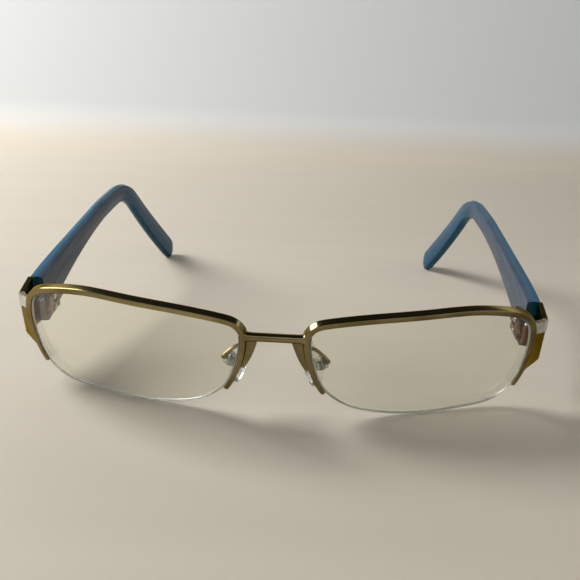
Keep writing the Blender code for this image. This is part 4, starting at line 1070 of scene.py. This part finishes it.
@dataclass
class NosePad:
    """A drop-shaped clear pad on its lug, with the clevis, the screw and the bent arm."""

    front: LensFront
    offset: Triple = (2.2 * MM, 7.9 * MM, -4.4 * MM)
    arm_radius: float = 0.45 * MM
    arm_level: float = 8.2 * MM
    arm_reach: float = 1.7 * MM
    arm_entry: float = 1.1 * MM
    arm_shares: tuple[float, float] = (0.35, 0.55)
    solder: float = 0.2 * MM
    solder_length: float = 0.3 * MM
    tilt: float = math.radians(18.0)
    splay: float = math.radians(28.0)
    size: Triple = (2.6 * MM, 7.4 * MM, 13.0 * MM)
    swelling: float = 0.44
    cushion: float = 1.25
    standoff: float = 2.5 * MM
    lug: Triple = (1.5 * MM, 1.0 * MM, 2.2 * MM)
    lug_rounding: float = 0.15 * MM
    lug_corner: float = 0.28 * MM
    lug_neck: tuple[float, float] = (0.45, 0.55)
    lug_swell: float = 0.9
    box_back: float = 1.4 * MM
    box_edge: float = 0.08 * MM
    screw_edge: float = 0.05 * MM

    def __post_init__(self) -> None:
        """Work out the pad's frame: X away from the nose, Y back along the screw, Z up the pad."""
        axes = (turn("Z", -self.splay) @ turn("Y", -self.tilt)).T
        anchor = self.front.beside(np.array([self.arm_level]), False, 0.0, 0.0, clear=False)[0]
        self.place = Place(anchor + np.array(self.offset), axes)

    def drop(self) -> Surface:
        """Return the pad: a sphere stretched to size, broader below, and dished towards its screw.

        The sphere's x is first raised to a power, which flattens it, and half of y squared is added.
        """
        polar = np.linspace(0.0, math.pi, 49)[1:-1, None]
        turning = np.linspace(0.0, 2.0 * math.pi, 72, endpoint=False)[None, :]
        x = 0.5 * np.sin(polar) * np.cos(turning)
        y = 0.5 * np.sin(polar) * np.sin(turning)
        z = np.broadcast_to(0.5 * np.cos(polar), x.shape)
        taper = 1.0 - self.swelling * z
        x = np.sign(x) * np.abs(2.0 * x) ** self.cushion * 0.5
        depth = (x + 0.5 * y * y) * self.size[0] - self.standoff
        local = np.stack([depth, y * taper * self.size[1], z * self.size[2]], axis=-1)
        return loft(self.place.world(local))

    def tongue(self) -> Surface:
        """Return the lug between the pad and the screw, as a rounded bar."""
        x = np.linspace(-self.standoff, self.lug[0] / 2.0 - self.lug_rounding, 24)
        half = np.array([self.lug[1], self.lug[2]]) / 2.0
        neck, rest = self.lug_neck
        swell = 1.0 + self.lug_swell * ease((-x - self.standoff * neck) / (self.standoff * rest))
        corners = np.array([(-1.0, -1.0), (1.0, -1.0), (1.0, 1.0), (-1.0, 1.0)]) * half
        corners = corners[None] * np.stack([swell, np.ones_like(x)], axis=-1)[:, None]
        profile = round_corners(corners, np.full(4, self.lug_corner))
        reach = np.broadcast_to(x[:, None, None], (*profile.shape[:2], 1))
        local = np.concatenate([reach, profile], axis=-1)
        return loft(rounded_ends(self.place.world(local), self.lug_rounding, 0.8))

    def arm(self) -> Surface:
        """Return the wire from behind the eyewire, past the lens, to the clevis.

        It thickens at both ends by a falling exponential, as solder does.
        """
        front = self.front
        back = front.place.axes[1]
        start = front.beside(np.array([self.arm_level]), False, front.flank_height / 2.0,
                             front.rim_depth - front.proud, clear=False)[0]
        end = self.place.origin + self.place.axes[0] * self.box_back
        past = start + back * self.arm_reach
        before = end + self.place.axes[0] * self.arm_entry
        crown = (past + before) / 2.0 + back * self.arm_reach
        first, last = self.arm_shares
        leave, enter = start * (1.0 - first) + past * first, before * (1.0 - last) + end * last
        bends = np.stack([start, leave, past, crown, before, enter, end])
        path = soften(resample(curve_through(bends, 16), 140), 5.0)
        distance = np.minimum(arc_lengths(path), arc_lengths(path)[-1] - arc_lengths(path))
        return tube(path, self.arm_radius + self.solder * np.exp(-distance / self.solder_length))

    def build(self, side: Side) -> None:
        """Make the pad's pieces on one side."""
        body = side.name_of("pad")
        pad = make_object(side.name_of("pad"), self.drop().on_side(side))
        dress(pad, Finish.SILICONE, body, side.name_of("nose_pad"))
        tongue = make_object(side.name_of("pad_tongue"), self.tongue().on_side(side))
        dress(tongue, Finish.SILICONE, body)
        arm = make_object(side.name_of("arm"), self.arm().on_side(side))
        dress(arm, Finish.GOLD, "frame", side.name_of("pad_arm"))
        for part, width in (("box", self.box_edge), ("screw", self.screw_edge)):
            node = side.name_of(f"pad_{part}")
            dress(refined(side.name_of(f"clevis_{part}"), node, width), Finish.STEEL, "frame", node)


# Endpieces -------------------------------------------------------------------------------------

@dataclass(frozen=True)
class BladeEnd:
    """Where the blade's front end stands in the hinge's frame: outwards, back, and up."""

    outer: float = 3.0 * MM
    start: float = 2.5 * MM
    top: float = 7.8 * MM
    height: float = 13.0 * MM


@dataclass
class Endpiece:
    """The bent plate from the eyewire's flank to the temple, with the bright block at its corner.

    The plate is a grid of columns, from the flank back to the temple, and rows down it. The block
    takes its first columns and rows, above a seam.
    """

    front: LensFront
    blade: BladeEnd
    rise: float
    thickness: float = 1.2 * MM
    top: float = 8.4 * MM
    bottom: float = -7.4 * MM
    setback: float = 0.35 * MM
    corner_reach: Triple = (5.1 * MM, 7.8 * MM, -2.1 * MM)
    corner_back: float = 4.4 * MM
    corner_rise: float = 2.2 * MM
    rounding: float = 0.2
    hinge_back: float = 7.1 * MM
    hinge_drop: float = 5.8 * MM
    blade_gap: float = 0.4 * MM
    accent_height: float = 2.7 * MM
    accent_proud: float = 0.15 * MM
    seam: float = 0.03 * MM
    plate_edge: float = 0.14 * MM
    block_edge: float = 0.2 * MM
    rows: int = 44
    columns: int = 61
    block_rows: int = 9
    block_columns: int = 33
    settling: int = 5
    search_share: float = 0.6
    search_steps: int = 121

    def __post_init__(self) -> None:
        """Work out the corner and the hinge's frame."""
        start = self.front.beside(np.array([self.top]), True, self.front.gap, self.setback)[0]
        self.corner_top = start + np.array(self.corner_reach)
        offset = np.array([-self.blade.outer, self.hinge_back, -self.hinge_drop])
        self.hinge = Place(self.corner_top + offset, turn("X", self.rise).T)

    def _columns(self, shares: Array) -> Array:
        """Return the outer face for rows at shares down the plate.

        Args:
            shares: Shares from the top, shaped (columns, rows).

        Returns:
            Points shaped (columns, rows, 3): straight from the flank, round the corner by a
            quadratic arc, and straight back to the temple.
        """
        levels = self.top - (self.top - self.bottom) * shares.reshape(-1)
        start = self.front.beside(levels, True, self.seam, self.setback).reshape(*shares.shape, 3)
        low_start = self.front.beside(np.array([self.bottom]), True, self.front.gap, self.setback)[0]
        low_corner = low_start + np.array([0.0, self.corner_back, self.corner_rise])
        low_corner[0] = self.corner_top[0]
        blade = self.blade
        rear = blade.start - self.blade_gap
        ends = [(blade.outer, rear, blade.top - drop) for drop in (0.0, blade.height)]
        top_end, low_end = self.hinge.world(np.array(ends))
        share = shares[..., None]
        corner = self.corner_top + (low_corner - self.corner_top) * share
        last = top_end + (low_end - top_end) * share
        entry = corner + (start - corner) * self.rounding
        leave = corner + (last - corner) * self.rounding
        u = np.linspace(0.0, 3.0, len(shares))[:, None, None]
        run, bend, tail = (np.clip(u - k, 0.0, 1.0) for k in (0.0, 1.0, 2.0))
        arc = (1.0 - bend) ** 2 * entry + 2.0 * bend * (1.0 - bend) * corner + bend**2 * leave
        return arc + (start - entry) * (1.0 - run) + (last - leave) * tail

    def _offset(self, face: Array, distance: float) -> Array:
        """Return a face moved along its own normals; its first columns turn to the lens's depth."""
        along = np.gradient(face, axis=0)
        down = np.gradient(face, axis=1)
        normal = unit(np.cross(down, along))
        normal[0] = -self.front.place.axes[1]
        count = self.settling
        settle = ease(np.linspace(0.0, 1.0, count))[:, None, None]
        normal[:count] = unit(normal[0] * (1.0 - settle) + normal[count] * settle)
        return face + normal * distance

    def _parting(self, gap: float) -> Array:
        """Return each column's share down the plate where the bright block ends, searched in steps."""
        start = self.front.beside(np.array([self.top]), True, self.front.gap, self.setback)[0]
        along = unit(self.corner_top - start)
        up = unit(np.array([0.0, 0.0, 1.0]) - along * along[2])
        shares = np.linspace(0.0, self.search_share, self.search_steps)
        height = (self._columns(np.tile(shares, (self.columns, 1))) - self.corner_top) @ up
        return shares[np.argmax(height < -self.accent_height - gap, axis=1)]

    def plate(self) -> Surface:
        """Return the plate without the corner that the bright block fills."""
        parting = self._parting(self.seam)[:, None]
        upper = parting * np.linspace(0.0, 1.0, self.block_rows)
        lower = parting + (1.0 - parting) * np.linspace(0.0, 1.0, self.rows)[1:]
        face = self._columns(np.concatenate([upper, lower], axis=1))
        mask = np.ones((self.columns - 1, face.shape[1] - 1), bool)
        mask[:self.block_columns, :self.block_rows - 1] = False
        return masked_slab(face, self._offset(face, -self.thickness), mask)

    def block(self) -> Surface:
        """Return the bright block, a little proud of the plate on both faces."""
        parting = self._parting(-self.seam)[:, None]
        face = self._columns(parting * np.linspace(0.0, 1.0, self.block_rows))
        outer = self._offset(face, self.accent_proud)[:self.block_columns]
        inner = self._offset(face, -self.thickness - self.accent_proud)[:self.block_columns]
        return masked_slab(outer, inner, np.ones((self.block_columns - 1, self.block_rows - 1), bool))

    def build(self, side: Side) -> None:
        """Make both pieces on one side."""
        plate = bevel(make_object(side.name_of("plate"), self.plate().on_side(side)), self.plate_edge)
        dress(plate, Finish.GOLD, "frame", side.name_of("endpiece"))
        block = bevel(make_object(side.name_of("block"), self.block().on_side(side)), self.block_edge)
        dress(block, Finish.SILVER, "frame", side.name_of("accent_trim"))


# Hinges and temples ----------------------------------------------------------------------------

@dataclass
class Hinge:
    """The bronze hinge halves with their steel screw and rivets."""

    leaf_edge: float = 0.1 * MM
    screw_edge: float = 0.06 * MM

    def build(self, side: Side) -> None:
        """Make the hinge's pieces on one side."""
        temple = side.name_of("temple")
        pieces = (
            ("hinge_half", "front_hinge", Finish.BRONZE, "frame", self.leaf_edge),
            ("hinge_leaf", "temple_hinge", Finish.BRONZE, temple, self.leaf_edge),
            ("pivot_screw", "hinge_screw", Finish.STEEL, "frame", self.screw_edge),
            ("rivet_low", "lower_rivet", Finish.STEEL, temple, self.screw_edge),
            ("rivet_high", "upper_rivet", Finish.STEEL, temple, self.screw_edge),
        )
        for name, node, finish, body, width in pieces:
            solid = side.name_of(node)
            dress(refined(side.name_of(name), solid, width), finish, body, solid)


@dataclass
class Temple:
    """The laminated blade that narrows to the bend and turns down behind the ear.

    The crest and the sink stand at shares of the part before the bend. The blade narrows over the
    first share of its whole length, and widens again past a later one.
    """

    hinge: Place
    end: BladeEnd
    middle_height: float = 6.0 * MM
    tip_height: float = 8.2 * MM
    front_thickness: float = 3.8 * MM
    tip_thickness: float = 3.2 * MM
    bend_length: float = 81.4 * MM
    drop_length: float = 37.7 * MM
    drop_angle: float = math.radians(50.0)
    bend_radius: float = 20.0 * MM
    arch: float = 3.6 * MM
    inward: float = 4.6 * MM
    tip_inward: float = 8.5 * MM
    leaf_length: float = 7.4 * MM
    edge: float = 1.15 * MM
    edge_limit: float = 0.46
    tail_edge_limit: float = 0.45
    side_edge: float = 0.02 * MM
    roundness: tuple[float, float] = (0.2, 0.45)
    crest: float = 0.9
    sink: float = 0.8 * MM
    sink_shares: tuple[float, float] = (0.8, 0.2)
    first_angle: float = math.radians(3.0)
    inward_power: float = 1.3
    late_share: float = 0.92
    late_power: float = 1.5
    narrow_share: float = 0.42
    widen_shares: tuple[float, float] = (0.6, 0.4)
    widen_rate: float = 1.3
    tail_thickness: float = 0.35
    tail_reach: float = 0.995
    tail_rings: int = 14
    count: int = 300

    def centre_line(self) -> Array:
        """Return evenly spaced points of the centre line in the hinge's frame.

        Returns:
            The side view's line with its inward shift, which grows as powers of the distance past
            the hinge leaf and past the bend.
        """
        flat = self._side_line()
        leaf_end = self.end.start + self.leaf_length
        past_leaf = np.clip((flat[:, 0] - leaf_end) / (self.bend_length - leaf_end), 0.0, 1.0)
        late = self.bend_length * self.late_share
        past_bend = np.maximum(flat[:, 0] - late, 0.0) / (flat[-1, 0] - late)
        inward = self.inward * past_leaf**self.inward_power + self.tip_inward * past_bend**self.late_power
        x = self.end.outer - self.front_thickness / 2.0 - inward
        line = np.stack([x, flat[:, 0], flat[:, 1]], axis=-1)
        return soften(resample(line, self.count), 5.0)

    def _side_line(self) -> Array:
        """Return the centre line seen from the side, as places and heights.

        Returns:
            A rising half sine that sinks a little before the bend, a circular arc, and a straight
            drop.
        """
        middle = self.end.top - self.end.height / 2.0
        bend_start = self.bend_length - self.bend_radius * math.tan(self.drop_angle / 2.0)
        share = np.linspace(0.0, 1.0, 160)
        height = middle + self.arch * np.sin(math.pi * np.minimum(share / self.crest, 1.0) / 2.0)
        sink_start, sink_span = self.sink_shares
        height -= self.sink * np.maximum(share - sink_start, 0.0) / sink_span
        place = self.end.start + (bend_start - self.end.start) * share
        blade = np.stack([place, height], axis=-1)
        first = self.first_angle
        angle = np.linspace(first, self.drop_angle, 80)[1:]
        centre = blade[-1] - self.bend_radius * np.array([math.sin(first), math.cos(first)])
        arc = centre + self.bend_radius * np.stack([np.sin(angle), np.cos(angle)], axis=-1)
        drop = np.linspace(0.0, self.drop_length, 100)[1:, None]
        drop = arc[-1] + drop * np.array([math.cos(self.drop_angle), -math.sin(self.drop_angle)])
        return np.concatenate([blade, arc, drop])

    def _heights(self, share: Array) -> Array:
        """Return the blade's height at shares of its length: a quarter sine down, then a rise."""
        narrow = np.minimum(share / self.narrow_share, 1.0)
        change = self.middle_height - self.end.height
        height = self.end.height + change * np.sin(narrow * math.pi / 2.0)
        start, span = self.widen_shares
        widen = np.minimum(np.maximum(share - start, 0.0) / span * self.widen_rate, 1.0)
        height = height + (self.tip_height - self.middle_height) * widen
        return soften(height[:, None], 6.0)[:, 0]

    def surface(self) -> Surface:
        """Return the blade: its section carried along the centre line to a rounded tail.

        Past the line's end the height falls as a quarter ellipse, held just short of a point.
        """
        line = self.centre_line()
        share = np.linspace(0.0, 1.0, self.count)
        height = self._heights(share)
        thickness = self.front_thickness + (self.tip_thickness - self.front_thickness) * share
        tangent = unit(np.gradient(line, axis=0))
        tangent[0] = (0.0, 1.0, 0.0)
        sine = np.sin(np.linspace(0.0, math.pi / 2.0, self.tail_rings + 1))[1:]
        tail = np.sqrt(1.0 - (sine * self.tail_reach) ** 2)
        line = np.concatenate([line, line[-1] + tangent[-1] * sine[:, None] * height[-1] / 2.0])
        tangent = np.concatenate([tangent, np.broadcast_to(tangent[-1], (self.tail_rings, 3))])
        height = np.concatenate([height, height[-1] * tail])
        flatter = self.tail_thickness + (1.0 - self.tail_thickness) * tail
        thickness = np.concatenate([thickness, thickness[-1] * flatter])
        side = unit(np.array([1.0, 0.0, 0.0]) - tangent * tangent[:, :1])
        up = np.cross(side, tangent)
        first, growth = self.roundness
        roundness = first + growth * ease(arc_lengths(line) / self.bend_length)
        profile = self._profile(height, thickness, roundness)
        rings = line[:, None] + side[:, None] * profile[..., :1] + up[:, None] * profile[..., 1:]
        along = np.broadcast_to(arc_lengths(line)[:, None], profile.shape[:2])
        across = 2.0 * profile[..., 0] / thickness[:, None]
        blade = np.stack([along, across, profile[..., 1]], axis=-1)
        return loft(self.hinge.world(rings), {"blade": blade})

    def _profile(self, height: Array, thickness: Array, roundness: Array) -> Array:
        """Return sections across and up.

        Args:
            height: Each section's height.
            thickness: Each section's thickness.
            roundness: 0 for a rectangle with rounded corners, 1 for the ellipse inside it.

        Returns:
            Points shaped (sections, points, 2), a straight mix of the two outlines at equal angles.
        """
        half = np.stack([thickness, height], axis=-1) / 2.0
        signs = np.array([(1.0, -1.0), (1.0, 0.0), (1.0, 1.0), (0.0, 1.0),
                          (-1.0, 1.0), (-1.0, 0.0), (-1.0, -1.0), (0.0, -1.0)])
        corners = signs[None] * half[:, None]
        reach = np.minimum(self.edge, self.edge_limit * thickness.min())
        radii = np.where((signs == 0.0).any(axis=1), self.side_edge, reach)
        straight = round_corners(corners, np.minimum(radii, height.min() * self.tail_edge_limit), 8)
        angle = np.arctan2(straight[..., 1] / half[:, 1:], straight[..., 0] / half[:, :1])
        ellipse = np.stack([np.cos(angle), np.sin(angle)], axis=-1) * half[:, None]
        mix = roundness[:, None, None]
        return straight * (1.0 - mix) + ellipse * mix

    def build(self, side: Side) -> None:
        """Make the blade on one side; its core wire stays inside and gets the steel finish."""
        body = side.name_of("temple")
        blade = make_object(side.name_of("blade"), self.surface().on_side(side), math.radians(50.0))
        dress(blade, Finish.ACETATE, body, side.name_of("temple"))
        wire = frame["nodes"][side.name_of("core_wire")]
        wire.data.materials.clear()
        wire.data.materials.append(WARDROBE.get(Finish.STEEL))


# Studio ----------------------------------------------------------------------------------------

@dataclass
class Studio:
    """The pale floor and wall, the sky, the window light and the camera.

    The sky's steps are pairs of height, from 0 at the horizon to 1 overhead, and brightness. The
    camera's focal length and sensor are in its own millimetres.
    """

    floor_colour: Colour = (0.66, 0.585, 0.47)
    floor_shade: float = 0.93
    wall_colour: Colour = (0.8, 0.82, 0.83)
    wall_place: float = 0.335
    wall_height: float = 0.17
    wall_bend: float = 0.03
    floor_front: float = -1.2
    half_width: float = 1.6
    sky: Colour = (0.96, 0.98, 1.0)
    sky_steps: tuple[tuple[float, float], ...] = (
        (0.0, 0.3), (0.36, 0.34), (0.47, 0.6), (0.52, 1.4), (0.58, 1.4), (0.64, 0.05), (1.0, 0.02),
    )
    window_place: Triple = (-0.54, 0.1, 0.44)
    window_size: float = 0.34
    window_power: float = 4.9
    window_colour: Colour = (0.97, 0.985, 1.0)
    camera_place: Triple = (9.697 * MM, -249.614 * MM, 95.296 * MM)
    yaw: float = math.radians(-2.1495)
    pitch: float = math.radians(18.4532)
    roll: float = math.radians(2.2179)
    focal_length: float = 52.023538
    sensor_width: float = 36.0

    def backdrop(self) -> None:
        """Make the floor and the wall as one sheet bent by a quarter circle."""
        start = self.wall_place - self.wall_bend
        angle = np.linspace(0.0, math.pi / 2.0, 24)
        floor = np.array([(self.floor_front, 0.0), (start, 0.0)])
        quarter = np.stack([np.sin(angle), -np.cos(angle)], axis=-1)[1:]
        arc = np.array([start, self.wall_bend]) + self.wall_bend * quarter
        line = np.concatenate([floor, arc, [(self.wall_place, self.wall_height)]])
        x = np.linspace(-self.half_width, self.half_width, 5)
        across = np.repeat(x, len(line))[:, None]
        sheet = Surface(np.concatenate([across, np.tile(line, (5, 1))], axis=1), grid_faces(5, len(line)))
        obj = make_object("backdrop", sheet, math.radians(80.0))
        obj.data.materials.append(self.paint())

    def paint(self) -> bpy.types.Material:
        """Return the backdrop's paint: grained below, plain where the sheet turns up."""
        graph = Graph.for_material("backdrop_paint")
        place = graph.place()
        height = graph.split(place)[2]
        grain = graph.noise(graph.scaled(place, (6.0, 60.0, 60.0)), 1.0, 4.0)
        shade = tuple(channel * self.floor_shade for channel in self.floor_colour)
        floor = graph.blend(grain.step(0.3, 0.7) * 0.35, self.floor_colour, shade)
        graph.paint(graph.blend(height.step(2.0 * MM, self.wall_bend), floor, self.wall_colour))
        graph.shader.inputs["Roughness"].default_value = 0.6
        return graph.owner

    def world(self) -> None:
        """Make a soft sky, dim overhead, with a bright band like a row of high windows."""
        world = bpy.data.worlds.new("soft_room")
        bpy.context.scene.world = world
        graph = Graph(world, "Background")
        height = graph.split(graph.node("ShaderNodeTexCoord").outputs["Generated"])[2]
        stops = [(place, tuple(level * channel for channel in self.sky)) for place, level in self.sky_steps]
        ramp = graph.node("ShaderNodeValToRGB", {"stops": stops}, {"Fac": height})
        graph.link(ramp.outputs["Color"], graph.shader.inputs["Color"])
        graph.shader.inputs["Strength"].default_value = 1.0

    def window(self) -> None:
        """Add the square window light, which faces the object."""
        data = bpy.data.lights.new("window", "AREA")
        data.size = self.window_size
        data.energy = self.window_power
        data.color = self.window_colour
        obj = bpy.data.objects.new("window", data)
        obj.location = self.window_place
        obj.rotation_euler = (-Vector(self.window_place)).to_track_quat("-Z", "Y").to_euler()
        bpy.context.scene.collection.objects.link(obj)

    def camera(self) -> None:
        """Place the camera from its yaw, downward pitch and roll."""
        ahead = math.cos(self.pitch)
        sight = np.array([math.sin(self.yaw) * ahead, math.cos(self.yaw) * ahead, -math.sin(self.pitch)])
        level = np.array([math.cos(self.yaw), -math.sin(self.yaw), 0.0])
        lift = np.cross(level, sight)
        right = math.cos(self.roll) * level + math.sin(self.roll) * lift
        up = math.cos(self.roll) * lift - math.sin(self.roll) * level
        data = bpy.data.cameras.new("camera")
        data.sensor_width = self.sensor_width
        data.lens = self.focal_length
        data.clip_start = 10.0 * MM
        obj = bpy.data.objects.new("camera", data)
        facing = Matrix(np.stack([right, up, -sight], axis=-1).tolist()).to_4x4()
        obj.matrix_world = Matrix.Translation(self.camera_place) @ facing
        bpy.context.scene.collection.objects.link(obj)
        bpy.context.scene.camera = obj

    def build(self) -> None:
        """Make the whole studio, shown with plain colours."""
        bpy.context.scene.view_settings.view_transform = "Standard"
        self.camera()
        self.backdrop()
        self.world()
        self.window()


def main() -> None:
    """Build the studio and every piece.

    The fronts are first worked out at the row's middle, and then moved so that the hinge meets the
    packed one.
    """
    logging.basicConfig(level=logging.INFO, format="%(name)s: %(message)s")
    Studio().build()
    joint = next(j for j in frame["joints"] if j["name"] == "right_temple_fold")
    rise = math.asin(-joint["axis"][1])
    design = LensFront()
    shift = np.array(joint["pos_m"]) - Endpiece(design, BladeEnd(), rise).hinge.origin
    front = LensFront()
    front.place = front.place.moved(shift)
    endpiece = Endpiece(front, BladeEnd(), rise)
    eyewire = Eyewire(front)
    blank = LensBlank(front)
    pad = NosePad(front)
    hinge = Hinge()
    temple = Temple(endpiece.hinge, endpiece.blade)
    Bridge(front).build()
    for side in Side:
        for part in (eyewire, blank, pad, endpiece, hinge, temple):
            part.build(side)


if __name__ == "__main__":
    main()
